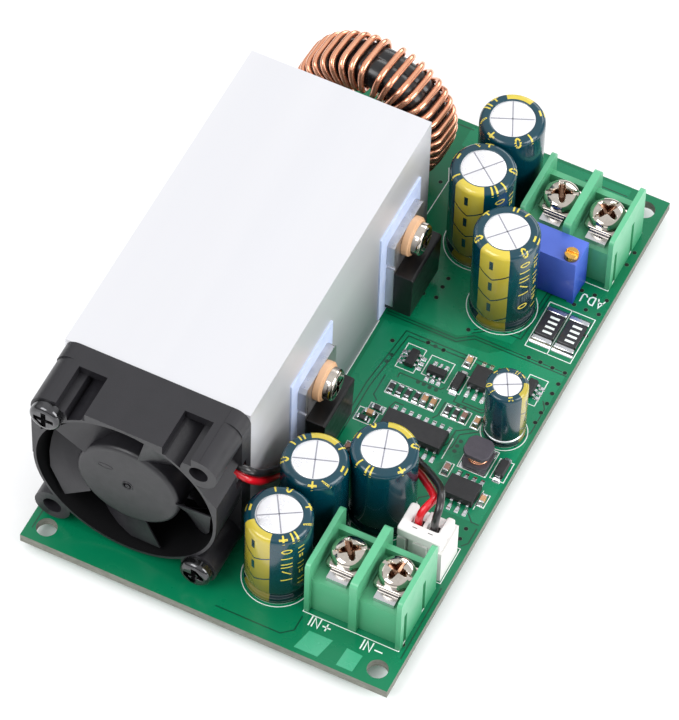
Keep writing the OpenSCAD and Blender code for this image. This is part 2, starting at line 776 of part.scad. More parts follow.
module device_body(y) {
    lead_z = device_z + body_h;
    color([0.14, 0.14, 0.15]) difference() {
        along_y(y - device_w / 2, device_w) polygon([
            [tab_x, device_z], [tab_x + body_t - 0.3, device_z], [tab_x + body_t, lead_z - 0.3],
            [tab_x + body_t - 0.3, lead_z], [tab_x, lead_z],
        ]);
        translate([tab_x - eps, y - device_w / 2 - 1, device_z + 0.8])
            cube([tab_t + eps, device_w + 2, body_h]);
        for (p = device_leads(y)) translate([p[0] - 0.3, p[1] - 0.45, device_z - 1]) cube([0.6, 0.9, 2.2]);
    }
}

module device_tab(y) {
    color("lightgray") difference() {
        union() {
            along_x(tab_x, tab_t) polygon([
                [y - 5, device_z + 0.8], [y + 5, device_z + 0.8], [y + 5, device_z + tab_h - 0.6],
                [y + 4.4, device_z + tab_h], [y - 4.4, device_z + tab_h], [y - 5, device_z + tab_h - 0.6],
            ]);
            for (p = device_leads(y)) {
                translate([p[0] - 0.3, p[1] - 0.45, 0]) cube([0.6, 0.9, device_z + 1.2]);
                lead(p, 0.1, lead_drop);
            }
        }
        translate([tab_x - 1, y, device_hole_z]) rod_x(3.8, tab_t + 2);
        // shallow notches in the tab's edges, just above the moulding
        for (s = [-1, 1]) translate([tab_x - 1, y + s * 5, device_z + body_h + 1.3]) rod_x(1, tab_t + 2);
    }
}

module insulating_pads() {
    color([0.78, 0.84, 0.95]) for (y = DEVICES) difference() {
        translate([pad_x, y - 7, 1]) cube([pad_t, 13.4, 20]);
        translate([pad_x - 1, y, device_hole_z]) rod_x(3.2, pad_t + 2);
    }
}

module insulating_bushes() {
    neck_l = tab_t;
    flange_x = tab_x + tab_t;
    color("burlywood") for (y = DEVICES) translate([0, y, device_hole_z]) difference() {
        union() {
            translate([tab_x, 0, 0]) rod_x(3.8, neck_l + eps);
            translate([flange_x, 0, 0]) rod_x(6.3, bush_flange_t);
            translate([flange_x + bush_flange_t - eps, 0, 0]) rod_x(5.7, bush_step_t);
        }
        translate([tab_x - 1, 0, 0]) rod_x(device_screw_d, 6);
    }
}

module device_screws() {
    seat_x = tab_x + tab_t + bush_flange_t + bush_step_t;
    color("silver") for (y = DEVICES) translate([seat_x, y, device_hole_z])
        rotate([0, 90, 0]) pan_screw(5.2, 1.4, device_screw_d, seat_x - sink_w + wall_t);
}

// ---------------------------------------------------------------- trimmer

module trimmer_body() {
    color([0.25, 0.45, 0.85]) translate([trim_x, trim_y, 0]) difference() {
        union() {
            translate([0, 0, 0.4]) cube([trim_w, trim_d, trim_h - 0.4]);
            for (x = [0, trim_w - 1], y = [0, trim_d - 1]) translate([x, y, 0]) cube([1, 1, 0.5]);
        }
        translate([trim_screw[0], trim_screw[1], trim_h - 2]) cylinder(d = trim_screw_d + 0.04, h = 3);
        for (p = trimmer_leads) translate([p[0] - trim_x, p[1] - trim_y, 0]) cylinder(d = p[2], h = 1);
    }
}

module trimmer_screw() {
    color("gold") translate([trim_x + trim_screw[0], trim_y + trim_screw[1], trim_h - 2]) difference() {
        cylinder(d = trim_screw_d, h = 3);
        translate([-2, -0.25, 2.5]) cube([4, 0.5, 1]);
    }
}

module trimmer_pins() {
    color("silver") for (p = trimmer_leads) lead(p, 1, lead_drop);
}

// ---------------------------------------------------------------- chips and small parts

// A gull-wing lead that leaves the body at y = 0 and runs along +Y
module gull_lead(w, knee, z) {
    along_x(-w / 2, w) polygon([
        [0, z], [knee, z], [knee + 0.25, 0.15], [knee + 0.85, 0.15], [knee + 0.85, 0],
        [knee + 0.05, 0], [knee - 0.15, z - 0.15], [0, z - 0.15],
    ]);
}

// Both rows of leads of a chip: count a side, pitch, body depth, lead width, height of the shoulder
module lead_rows(count, pitch, depth, w, z) {
    for (side = [0, 180], i = [0:count - 1]) rotate(side)
        translate([(i - (count - 1) / 2) * pitch, depth / 2, 0]) gull_lead(w, 0.35, z);
}

module chip_body(at, w, d, h) {
    translate([at[0] - w / 2, at[1] - d / 2, 0.1]) along_x(0, w) polygon([
        [0, h * 0.45], [0.15, 0], [d - 0.15, 0], [d, h * 0.45], [d - 0.2, h - 0.1], [0.2, h - 0.1],
    ]);
}

module controller_chip() {
    color([0.15, 0.15, 0.16]) chip_body(CONTROLLER, 9.9, 3.9, 1.6);
}

module driver_chips() {
    color([0.15, 0.15, 0.16]) for (at = DRIVERS) chip_body(at, 4.9, 3.9, 1.5);
}

module small_semiconductors() {
    color([0.15, 0.15, 0.16]) {
        for (t = SMALL_TRANSISTORS) translate([t[0], t[1], 0]) rotate(t[2] ? 0 : 90) chip_body([0, 0], 2.9, 1.5, 1.1);
        for (d = DIODES) translate([d[0], d[1], 0]) rotate(90) chip_body([0, 0], 2.7, 1.6, 1.15);
    }
}

module chip_leads() {
    color("silver") {
        translate([CONTROLLER[0], CONTROLLER[1], 0]) lead_rows(8, 1.27, 3.9, 0.42, 0.8);
        for (at = DRIVERS) translate([at[0], at[1], 0]) lead_rows(4, 1.27, 3.9, 0.42, 0.8);
        for (t = SMALL_TRANSISTORS) translate([t[0], t[1], 0]) rotate(t[2] ? 0 : 90)
            lead_rows(3, 0.95, 1.5, 0.4, 0.6);
        for (d = DIODES, side = [0, 180]) translate([d[0], d[1], 0]) rotate(side)
            translate([0, 1.35, 0]) gull_lead(0.8, 0.2, 0.6);
    }
}

// A chip part: dark or ceramic middle between two metal ends, all one moulded block
module chip_part(at, size) {
    turned = len(at) > 2 && at[2] == 1;
    translate([at[0], at[1], 0]) rotate(turned ? 90 : 0)
        translate([-size[0] / 2, -size[1] / 2, 0.05]) cube(size);
}

module shunt_resistors() {
    color([0.2, 0.2, 0.2]) for (s = SHUNTS) chip_part(s, SHUNT);
}

module chip_resistors() {
    color([0.25, 0.25, 0.25]) for (r = RESISTORS) chip_part(r, CHIP);
}

module chip_capacitors() {
    color("tan") for (c = CERAMICS) chip_part(c, [CHIP[0], CHIP[1], 0.8]);
}

module choke_core() {
    color([0.4, 0.38, 0.4]) translate([choke_at[0], choke_at[1], 0]) intersection() {
        rotate_extrude() {
            square([2.5, 0.9]);
            square([1.3, 3.2]);
            translate([0, 2.4]) square([2.3, 0.8]);
        }
        translate([-2.1, -1.95, -1]) cube([4.2, 3.9, 6]);
    }
}

module choke_winding() {
    turns = 4;
    color("chocolate") translate([choke_at[0], choke_at[1], 0]) rotate_extrude()
        for (i = [0:turns - 1]) translate([1.5, 0.9 + (i + 0.5) * 1.5 / turns]) circle(0.19);
}

// ---------------------------------------------------------------- the nodes

on_board() {
    pcb();
    solder_joints();
    heatsink();
    heatsink_screws();
    fan_frame();
    fan_impeller();
    fan_shaft();
    fan_bearing();
    fan_magnet_ring();
    fan_stator_core();
    fan_stator_coils();
    fan_circuit_board();
    fan_screws();
    fan_red_wire();
    fan_black_wire();
    fan_plug();
    fan_header();
    fan_header_pins();
    toroid_core();
    toroid_winding();
    for (i = [0:len(CAPS) - 1])
        capacitor(i);
    capacitor_sleeves();
    terminal_housing(BLOCKS[0]);  // input_terminal_housing
    terminal_housing(BLOCKS[1]);  // output_terminal_housing
    terminal_contacts(BLOCKS[0]);  // input_terminal_contacts
    terminal_contacts(BLOCKS[1]);  // output_terminal_contacts
    for (i = [0:3]) {
        terminal_washer(i);
        terminal_screw(i);
    }
    device_body(DEVICES[0]);  // transistor_body
    device_tab(DEVICES[0]);  // transistor_tab
    device_body(DEVICES[1]);  // rectifier_body
    device_tab(DEVICES[1]);  // rectifier_tab
    insulating_pads();
    insulating_bushes();
    device_screws();
    trimmer_body();
    trimmer_screw();
    trimmer_pins();
    controller_chip();
    driver_chips();
    small_semiconductors();
    chip_leads();
    shunt_resistors();
    chip_resistors();
    chip_capacitors();
    choke_core();
    choke_winding();
}
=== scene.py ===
import bpy, bmesh, math
from mathutils import Matrix, Vector


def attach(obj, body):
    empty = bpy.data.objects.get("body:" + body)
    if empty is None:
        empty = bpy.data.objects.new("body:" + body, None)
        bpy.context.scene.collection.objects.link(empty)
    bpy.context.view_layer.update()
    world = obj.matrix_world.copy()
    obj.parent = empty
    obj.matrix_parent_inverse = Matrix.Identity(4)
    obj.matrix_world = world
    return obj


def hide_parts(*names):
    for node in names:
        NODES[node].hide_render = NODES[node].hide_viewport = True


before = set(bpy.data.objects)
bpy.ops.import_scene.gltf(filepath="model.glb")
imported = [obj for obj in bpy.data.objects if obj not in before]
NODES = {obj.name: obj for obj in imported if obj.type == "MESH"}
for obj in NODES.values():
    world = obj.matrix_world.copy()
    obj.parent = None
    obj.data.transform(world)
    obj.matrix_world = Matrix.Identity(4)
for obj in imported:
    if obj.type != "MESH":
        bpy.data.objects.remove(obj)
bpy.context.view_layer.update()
scene = bpy.context.scene
MM = 0.001
CORNER = Vector((-29.9, -49.4, 3.6))      # near left corner of the board's top, in mm


def at(x, y, z=0):
    """A point given in board millimetres, as a point of the frame in metres."""
    return (Vector((x, y, z)) + CORNER) * MM


def rgb(r, g, b):
    """A colour as read off a screen, 0 to 255, turned into linear light."""
    return tuple(((c / 255 + 0.055) / 1.055) ** 2.4 if c > 10 else c / 255 / 12.92 for c in (r, g, b))


# ---------------------------- camera, floor and light

cam_data = bpy.data.cameras.new("camera")
cam_data.sensor_width = 36
cam_data.lens = 285.29
cam_data.clip_end = 10
camera = bpy.data.objects.new("camera", cam_data)
scene.collection.objects.link(camera)
eye = Vector((204.34, -449.32, 700.52)) * MM
look = Vector((-0.24158, 0.52580, -0.81558)).normalized()
right = look.cross(Vector((0, 0, 1))).normalized()
right = Matrix.Rotation(math.radians(-1.964), 3, look) @ right
up = right.cross(look)
turn = Matrix((right, up, -look)).transposed().to_4x4()
camera.matrix_world = Matrix.Translation(eye) @ turn
scene.camera = camera

floor_mesh = bpy.data.meshes.new("floor")
floor_mesh.from_pydata([(-3, -3, 0), (3, -3, 0), (3, 3, 0), (-3, 3, 0)], [], [(0, 1, 2, 3)])
floor = bpy.data.objects.new("floor", floor_mesh)
scene.collection.objects.link(floor)

world = bpy.data.worlds.new("studio")
scene.world = world
world.use_nodes = True
wn, wl = world.node_tree.nodes, world.node_tree.links
sky = wn["Background"]
coord = wn.new("ShaderNodeTexCoord")
split = wn.new("ShaderNodeSeparateXYZ")
ramp = wn.new("ShaderNodeValToRGB")
wl.new(coord.outputs["Generated"], split.inputs[0])
wl.new(split.outputs["Z"], ramp.inputs["Fac"])
wl.new(ramp.outputs["Color"], sky.inputs["Color"])
low, high = ramp.color_ramp.elements
low.position, low.color = 0.02, (0.16, 0.165, 0.17, 1)
high.position, high.color = 0.62, (0.97, 0.975, 0.99, 1)
ramp.color_ramp.elements.new(0.3).color = (0.5, 0.505, 0.515, 1)
scene.view_settings.view_transform = "Standard"
scene.view_settings.look = "None"
LOOKED_AT = Vector((0, 0, 0.01))


def softbox(name, place, size, power):
    """A square or oblong lamp that looks at the module."""
    data = bpy.data.lights.new(name, "AREA")
    data.shape = "RECTANGLE"
    data.size, data.size_y = size
    data.energy = power
    o = bpy.data.objects.new(name, data)
    scene.collection.objects.link(o)
    o.location = place
    o.rotation_euler = (LOOKED_AT - Vector(place)).to_track_quat("-Z", "Y").to_euler()


softbox("key", (-0.28, -0.5, 0.62), (0.45, 0.45), 3.6)
softbox("side", (0.7, 0, 0.4), (0.5, 0.5), 4.6)
softbox("back", (0.1, 0.8, 0.42), (0.6, 0.3), 2)

# ---------------------------- materials


def material(name, color, rough, metal=0, coat=0, mottle=0.3, spots=300, other=None,
             grain=0, grit=3000, stretch=(1, 1, 1), vary=0, specular=0.5, painted_shade=None):
    """A procedural surface. mottle is how far patches go over to the other colour and spots how many they are
    to the metre, vary moves the roughness, and grain is bump in mm with grit points to the metre.
    painted_shade is (low, high, shade_colour): heights in mm between which the painted shade colour, standing for the
    shade low down on the part, goes over to plain."""
    color = rgb(*color)
    m = bpy.data.materials.new(name)
    m.use_nodes = True
    nodes, links = m.node_tree.nodes, m.node_tree.links
    b = nodes["Principled BSDF"]
    b.inputs["Base Color"].default_value = (*color, 1)
    b.inputs["Roughness"].default_value = rough
    b.inputs["Metallic"].default_value = metal
    b.inputs["Coat Weight"].default_value = coat
    b.inputs["Coat Roughness"].default_value = 0.06
    b.inputs["Specular IOR Level"].default_value = specular
    place = nodes.new("ShaderNodeTexCoord")
    mapping = nodes.new("ShaderNodeMapping")
    mapping.inputs["Scale"].default_value = stretch
    links.new(place.outputs["Object"], mapping.inputs["Vector"])

    def noise(scale, detail):
        n = nodes.new("ShaderNodeTexNoise")
        n.inputs["Scale"].default_value = scale
        n.inputs["Detail"].default_value = detail
        n.inputs["Roughness"].default_value = 0.55
        links.new(mapping.outputs["Vector"], n.inputs["Vector"])
        return n.outputs["Fac"]

    def ranged(value, low, high, out_low=0, out_high=1):
        """The value stretched from low to high onto the range given."""
        n = nodes.new("ShaderNodeMapRange")
        n.inputs["From Min"].default_value = low
        n.inputs["From Max"].default_value = high
        n.inputs["To Min"].default_value = out_low
        n.inputs["To Max"].default_value = out_high
        links.new(value, n.inputs["Value"])
        return n.outputs["Result"]

    if mottle:
        other = rgb(*other) if other else tuple(c * 0.6 for c in color)
        mix = nodes.new("ShaderNodeMix")
        mix.data_type = "RGBA"
        links.new(ranged(noise(spots, 3), 0.3, 0.7, 0, mottle), mix.inputs["Factor"])
        mix.inputs[6].default_value = (*color, 1)
        mix.inputs[7].default_value = (*other, 1)
        colour = mix.outputs[2]
        # painted shade: the base colour goes over to a darker colour towards the bottom of the part
        if painted_shade:
            low, high, shade_colour = painted_shade
            parts = nodes.new("ShaderNodeSeparateXYZ")
            links.new(place.outputs["Object"], parts.inputs[0])
            shade = nodes.new("ShaderNodeMix")
            shade.data_type = "RGBA"
            links.new(ranged(parts.outputs["Z"], low * MM, high * MM), shade.inputs["Factor"])
            shade.inputs[6].default_value = (*rgb(*shade_colour), 1)
            links.new(colour, shade.inputs[7])
            colour = shade.outputs[2]
        links.new(colour, b.inputs["Base Color"])
    if vary:
        uneven = ranged(noise(spots * 1.7, 4), 0.3, 0.7, max(rough - vary, 0.02), rough + vary)
        links.new(uneven, b.inputs["Roughness"])
    if grain:
        bump = nodes.new("ShaderNodeBump")
        bump.inputs["Strength"].default_value = 1.0
        bump.inputs["Distance"].default_value = grain * MM
        links.new(noise(grit, 2), bump.inputs["Height"])
        links.new(bump.outputs["Normal"], b.inputs["Normal"])
    return m


M = {
    "floor": material("floor_white", (245.8, 245.8, 245.8), 0.7, mottle=0),
    "mask": material("solder_mask", (0, 110, 72), 0.3, coat=0.12, mottle=0.35, spots=90, other=(4, 122, 82),
        grain=0.004, grit=1800, vary=0.05, specular=0.35),
    "mask_light": material("solder_mask_over_copper", (14, 128, 88), 0.28, coat=0.15, spots=120, other=(8, 120, 82),
        grain=0.004, grit=1800, vary=0.05, specular=0.35),
    "mask_pale": material("solder_mask_over_tin", (62, 160, 122), 0.26, coat=0.3, spots=150, other=(48, 150, 112),
        vary=0.05),
    "mask_dark": material("solder_mask_gap", (0, 66, 44), 0.3, coat=0.3, spots=500),
    "laminate": material("board_edge", (128, 130, 120), 0.75, mottle=0.7, spots=900, other=(92, 92, 84), grain=0.02,
        grit=5000, stretch=(1, 1, 4)),
    "print": material("white_print", (232, 238, 234), 0.6, spots=2500, other=(200, 214, 206)),
    "tin": material("solder", (214, 216, 218), 0.2, 1, mottle=0.4, spots=1500, other=(168, 170, 174), grain=0.02,
        grit=1200, vary=0.08),
    "lead": material("tinned_lead", (222, 223, 226), 0.24, 1, mottle=0.35, spots=1800, other=(170, 172, 176),
        grain=0.004, grit=4000, vary=0.06),
    # painted shade and painted dark reflection: the heatsink's sides go darker low down, near the board
    "alloy": material("drawn_aluminium", (221, 221, 224), 0.42, 0.6, spots=120, other=(212, 213, 219), grain=0.006,
        grit=900, stretch=(1, 0.03, 1), vary=0.05, painted_shade=(4, 24, (158, 158, 166))),
    "fan": material("fan_plastic", (33, 32, 36), 0.4, mottle=0.4, spots=400, other=(24, 24, 27), grain=0.012,
        grit=5000, vary=0.05),
    # painted shade: near-black plastic for the unlit inside of the fan's bore
    "fan_bore_painted_shade": material("fan_bore_painted_shade", (9, 9, 11), 0.6, mottle=0.4, spots=400, other=(6, 6, 7), specular=0.2),
    "black_screw": material("blackened_screw", (58, 58, 60), 0.16, 0.9, coat=0.5, mottle=0.5, spots=1200,
        other=(96, 96, 98), vary=0.06),
    "copper": material("enamelled_copper", (243, 175, 138), 0.2, 0.85, coat=0.8, mottle=0.4, spots=260,
        other=(208, 130, 94), vary=0.05),
    "core": material("core_coating", (13, 13, 15), 0.34, coat=0.25, mottle=0.5, spots=350, other=(26, 26, 29),
        grain=0.08, grit=700, vary=0.1, specular=0.4),
    # painted shade: the sleeve goes darker towards its foot
    "sleeve": material("shrunk_sleeve", (0, 56, 70), 0.2, coat=0.35, mottle=0.35, spots=150, other=(0, 46, 58),
        grain=0.008, grit=500, vary=0.03, specular=0.4, painted_shade=(3, 17, (0, 25, 27))),
    # painted shade: the stripe goes over to dark olive towards the can's foot
    "stripe": material("printed_stripe", (206, 186, 66), 0.22, coat=0.4, other=(190, 170, 50), vary=0.04,
        painted_shade=(3, 23, (84, 82, 16))),
    "rim_print": material("printed_marks", (216, 196, 72), 0.35, coat=0.2, mottle=0.2, spots=900),
    "stripe_mark": material("dark_print", (16, 48, 56), 0.25, coat=0.6, mottle=0.2, spots=900),
    # painted shade: the darker grey of the lines scored across the can ends, for the shade in their grooves
    "score": material("can_score_painted_shade", (158, 158, 168), 0.4, 0.6, spots=900),
    "can": material("can_end", (244, 244, 246), 0.3, 0.7, mottle=0.35, spots=250, other=(226, 226, 230), vary=0.05),
    # painted shade: the terminal housing goes darker towards the board
    "terminal": material("terminal_green", (92, 176, 132), 0.36, coat=0.12, mottle=0.4, spots=200,
        other=(80, 164, 120), grain=0.008, grit=2500, vary=0.05, painted_shade=(3, 15, (62, 146, 104))),
    # painted reflection and shade: the screws' cross recesses in dark brown metal, for the dark reflections and shade
    # inside them
    "recess": material("recess_painted_reflection_and_shade", (136, 104, 84), 0.14, 1, mottle=0.5, spots=1600, other=(60, 46, 38),
        vary=0.05),
    "contact": material("tinned_contact", (206, 206, 208), 0.18, 1, spots=500, other=(190, 190, 194), vary=0.05),
    "chrome": material("nickel_plate", (204, 196, 186), 0.07, 1, mottle=0.35, spots=900, other=(150, 140, 128),
        vary=0.03),
    "washer": material("washer_plate", (178, 172, 164), 0.14, 1, mottle=0.4, spots=700, other=(120, 114, 106),
        vary=0.04),
    "tab": material("plated_tab", (204, 204, 206), 0.34, 0.9, mottle=0.5, spots=500, other=(146, 146, 150),
        grain=0.02, grit=1500, stretch=(1, 1, 0.2), vary=0.1),
    "epoxy": material("moulded_epoxy", (38, 38, 40), 0.5, mottle=0.5, spots=900, other=(28, 28, 30), grain=0.02,
        grit=7000, vary=0.08),
    "epoxy_gloss": material("polished_epoxy", (16, 16, 17), 0.36, coat=0.1, mottle=0.4, spots=500, other=(25, 25, 27),
        vary=0.06, specular=0.35),
    "pad": material("insulating_sheet", (188, 204, 240), 0.5, mottle=0.5, spots=500, other=(214, 222, 244),
        grain=0.02, vary=0.08),
    "bush": material("tan_nylon", (222, 178, 138), 0.42, mottle=0.4, spots=500, other=(204, 156, 116), vary=0.05),
    # painted shade: the trimmer's lower sides go darker than its lit top
    "blue": material("trimmer_blue", (84, 112, 212), 0.36, mottle=0.45, other=(72, 100, 200), grain=0.012, grit=3500,
        vary=0.06, painted_shade=(3, 13.5, (8, 44, 150))),
    "brass": material("turned_brass", (226, 178, 92), 0.2, 1, mottle=0.4, spots=900, other=(190, 136, 62),
        vary=0.08),
    "white": material("white_nylon", (230, 228, 226), 0.4, mottle=0.35, other=(216, 212, 208), grain=0.01, vary=0.05),
    "red": material("red_insulation", (214, 16, 34), 0.3, coat=0.3, spots=400, other=(190, 8, 24), grain=0.01,
        grit=1500),
    "black": material("black_insulation", (24, 22, 24), 0.3, coat=0.3, spots=400, other=(36, 33, 36), grain=0.01,
        grit=1500),
    "ceramic": material("tan_ceramic", (196, 152, 112), 0.45, mottle=0.5, spots=1500, other=(172, 128, 90),
        vary=0.08),
    "ceramic_dark": material("brown_ceramic", (150, 112, 98), 0.45, mottle=0.5, spots=1500, other=(124, 92, 82),
        vary=0.08),
    "film": material("resistor_coat", (30, 30, 32), 0.35, coat=0.2, mottle=0.5, spots=1500, other=(48, 48, 50),
        vary=0.08),
    "ferrite": material("ferrite", (74, 70, 78), 0.5, mottle=0.5, spots=900, other=(58, 55, 62), grain=0.03,
        grit=4000, vary=0.08),
    "gold_hole": material("hole_ring", (40, 120, 84), 0.3, 0.2, mottle=0.4, spots=1500, other=(84, 140, 108)),
    # painted shade: near-black sheets put in the place of openings, the plug's ways and the vias' holes
    "hole": material("hole_painted_shade", (13, 13, 13), 0.8, mottle=0.4, spots=2000),
    "fan_board": material("fan_board", (10, 80, 50), 0.3, coat=0.3),
    "steel": material("steel", (190, 190, 194), 0.3, 1, spots=900, vary=0.06),
}
floor_mesh.materials.append(M["floor"])

# ---------------------------- carried-over solids


def finish_node(node, mat, bevel):
    """A CAD solid stays; its edges are eased by modifiers and it gets its surface."""
    o = NODES[node]
    o.data.materials.clear()
    o.data.materials.append(M[mat])
    if "custom_normal" in o.data.attributes:
        o.data.attributes.remove(o.data.attributes["custom_normal"])
    o.data.shade_smooth()
    weld = o.modifiers.new("join", "WELD")
    weld.merge_threshold = 2e-6
    flat = o.modifiers.new("flats", "DECIMATE")
    flat.decimate_type = "DISSOLVE"
    flat.angle_limit = math.radians(1.5)
    flat.delimit = {"MATERIAL"}
    if bevel:
        b = o.modifiers.new("edges", "BEVEL")
        b.width = bevel * MM
        b.segments = 2
        b.limit_method = "ANGLE"
        b.angle_limit = math.radians(32)
        b.harden_normals = True
        b.use_clamp_overlap = True
    else:
        b = o.modifiers.new("corners", "EDGE_SPLIT")
        b.split_angle = math.radians(32)


def bands(rows, n, closed=False):
    """The faces between rows of n points, each row a closed loop; closed joins the last row to the first."""
    return [[j * n + k, j * n + (k + 1) % n, (j + 1) % rows * n + (k + 1) % n, (j + 1) % rows * n + k]
            for j in range(rows if closed else rows - 1) for k in range(n)]


def ends(rows, n):
    """The two faces that close the first and the last of those rows."""
    return [list(range(n))[::-1], [(rows - 1) * n + k for k in range(n)]]


def circle_steps(n):
    """The angles of n equal steps round a circle."""
    return [2 * math.pi * k / n for k in range(n)]


class Shape:
    """Gathers faces in board millimetres, each with the number of its material."""

    def __init__(self):
        self.v, self.f, self.m = [], [], []

    def add(self, verts, faces, mat=0):
        """mat is a material's number, or a function from a face's number to it."""
        n = len(self.v)
        self.v += [tuple(p) for p in verts]
        for i, f in enumerate(faces):
            self.f.append([n + k for k in f])
            self.m.append(mat(i) if callable(mat) else mat)

    def prism(self, ring, z0, z1, mat=0, ease=0):
        """An upright block on the ring's outline, its top edge cut back by ease."""
        n = len(ring)
        if ease:
            cx = sum(p[0] for p in ring) / n
            cy = sum(p[1] for p in ring) / n
            w = max(abs(p[0] - cx) for p in ring)
            h = max(abs(p[1] - cy) for p in ring)
            inner = [(cx + (p[0] - cx) * (1 - ease / w), cy + (p[1] - cy) * (1 - ease / h)) for p in ring]
            rings = [[(x, y, z0) for x, y in ring], [(x, y, z1 - ease) for x, y in ring],
                     [(x, y, z1) for x, y in inner]]
        else:
            rings = [[(x, y, z0) for x, y in ring], [(x, y, z1) for x, y in ring]]
        v = [p for r in rings for p in r]
        self.add(v, bands(len(rings), n) + ends(len(rings), n), mat)

    def lathe(self, profile, centre, n, mat=0, cap=False):
        """A profile of (radius, height), from the bottom outside round to the top inside, turned in n steps."""
        cx, cy = centre
        v = [(cx + r * math.cos(a), cy + r * math.sin(a), z) for r, z in profile for a in circle_steps(n)]
        self.add(v, bands(len(profile), n) + (ends(len(profile), n)[1:] if cap else []), mat)

    def tube(self, points, r, sides):
        """A round tube along points, its section carried along without twist."""
        pts = [Vector(p) for p in points]
        v = []
        t = (pts[1] - pts[0]).normalized()
        side = t.orthogonal().normalized()
        for k, p in enumerate(pts):
            nt = (pts[min(k + 1, len(pts) - 1)] - pts[max(k - 1, 0)]).normalized()
            side = (t.rotation_difference(nt) @ side).normalized()
            t = nt
            across = t.cross(side)
            v += [p + (side * math.cos(a) + across * math.sin(a)) * r for a in circle_steps(sides)]
        self.add(v, bands(len(pts), sides) + ends(len(pts), sides))

    def strokes(self, lines, width, z, mat=0, warp=None, height=0.012, step=0):
        """Flat ribbons of a print, cut into steps of that length if it is given. warp maps a flat point and a
        height to a point in space."""
        warp = warp or (lambda x, y, h: (x, y, z + h))
        for line in lines:
            pts = [Vector(p[:2]) for p in line]
            if step:
                fine = [pts[0]]
                for a, b in zip(pts, pts[1:]):
                    k = max(1, int((b - a).length / step))
                    fine += [a.lerp(b, (i + 1) / k) for i in range(k)]
                pts = fine
            shut = len(line) > 2 and (pts[0] - pts[-1]).length < 1e-6
            if shut:
                pts = pts[:-1]
            n = len(pts)
            v = []
            for i, p in enumerate(pts):
                a = pts[(i - 1) % n] if shut or i else p
                b = pts[(i + 1) % n] if shut or i < n - 1 else p
                d1 = (p - a).normalized() if (p - a).length > 1e-9 else (b - p).normalized()
                d2 = (b - p).normalized() if (b - p).length > 1e-9 else d1
                s = d1 + d2
                s = s.normalized() if s.length > 1e-6 else d1
                k = 1 / max(0.5, s.dot(d1))
                side = Vector((-s.y, s.x)) * (width / 2 * k)
                end = s * (width / 2) if not shut and i in (0, n - 1) else Vector((0, 0))
                if i == 0:
                    end = -end
                for q in (p - side + end, p + side + end):
                    v.append(warp(q.x, q.y, height))
            f = [[2 * i, 2 * ((i + 1) % n), 2 * ((i + 1) % n) + 1, 2 * i + 1] for i in range(n if shut else n - 1)]
            self.add(v, f, mat)

    def piece(self, name, mats, body="module", replaces=(), angle=35):
        """Makes the gathered faces one piece of the scene. Edges sharper than angle stay crisp."""
        me = bpy.data.meshes.new(name)
        me.from_pydata([at(*p) for p in self.v], [], self.f)
        for m in mats:
            me.materials.append(M[m])
        for p, m in zip(me.polygons, self.m):
            p.material_index = m
        bm = bmesh.new()
        bm.from_mesh(me)
        bmesh.ops.remove_doubles(bm, verts=bm.verts, dist=2e-7)
        bmesh.ops.recalc_face_normals(bm, faces=bm.faces)
        for fce in bm.faces:
            fce.smooth = True
        for e in bm.edges:
            e.smooth = not (len(e.link_faces) == 2 and e.calc_face_angle() > math.radians(angle))
        bm.to_mesh(me)
        bm.free()
        o = bpy.data.objects.new(name, me)
        scene.collection.objects.link(o)
        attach(o, body)
        if replaces:
            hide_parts(*replaces)
        return o


def catmull(points, steps):
    """A smooth line through the points, as the CAD route has it."""
    p = [Vector(q) for q in points]
    out = []
    for i in range(len(p) - 1):
        a, b, c, d = p[max(i - 1, 0)], p[i], p[i + 1], p[min(i + 2, len(p) - 1)]
        for k in range(steps):
            t = k / steps
            out.append(0.5 * ((2 * b) + (c - a) * t + (2 * a - 5 * b + 4 * c - d) * t * t
                              + (3 * b - a - 3 * c + d) * t ** 3))
    return out + [p[-1]]


# ---------------------------- the plug on the fan lead

PLUG_TOP = 9.8


def rounded(points, reach, steps=3, closed=False):
    """The line with each corner turned into a short curve."""
    p = [Vector(q) for q in points]
    if closed:
        p = [p[-1], *p, p[0]]
    out = []
    for a, b, c in zip(p, p[1:], p[2:]):
        u, w = a - b, c - b
        k = min(reach, u.length * 0.48, w.length * 0.48)
        start, end = b + u.normalized() * k, b + w.normalized() * k
        for i in range(steps + 1):
            t = i / steps
            out.append(start.lerp(b, t).lerp(b.lerp(end, t), t))
    return out if closed else [p[0], *out, p[-1]]


def corners(x0, y0, x1, y1):
    """The four corners of an upright box's outline."""
    return [(x0, y0), (x1, y0), (x1, y1), (x0, y1)]


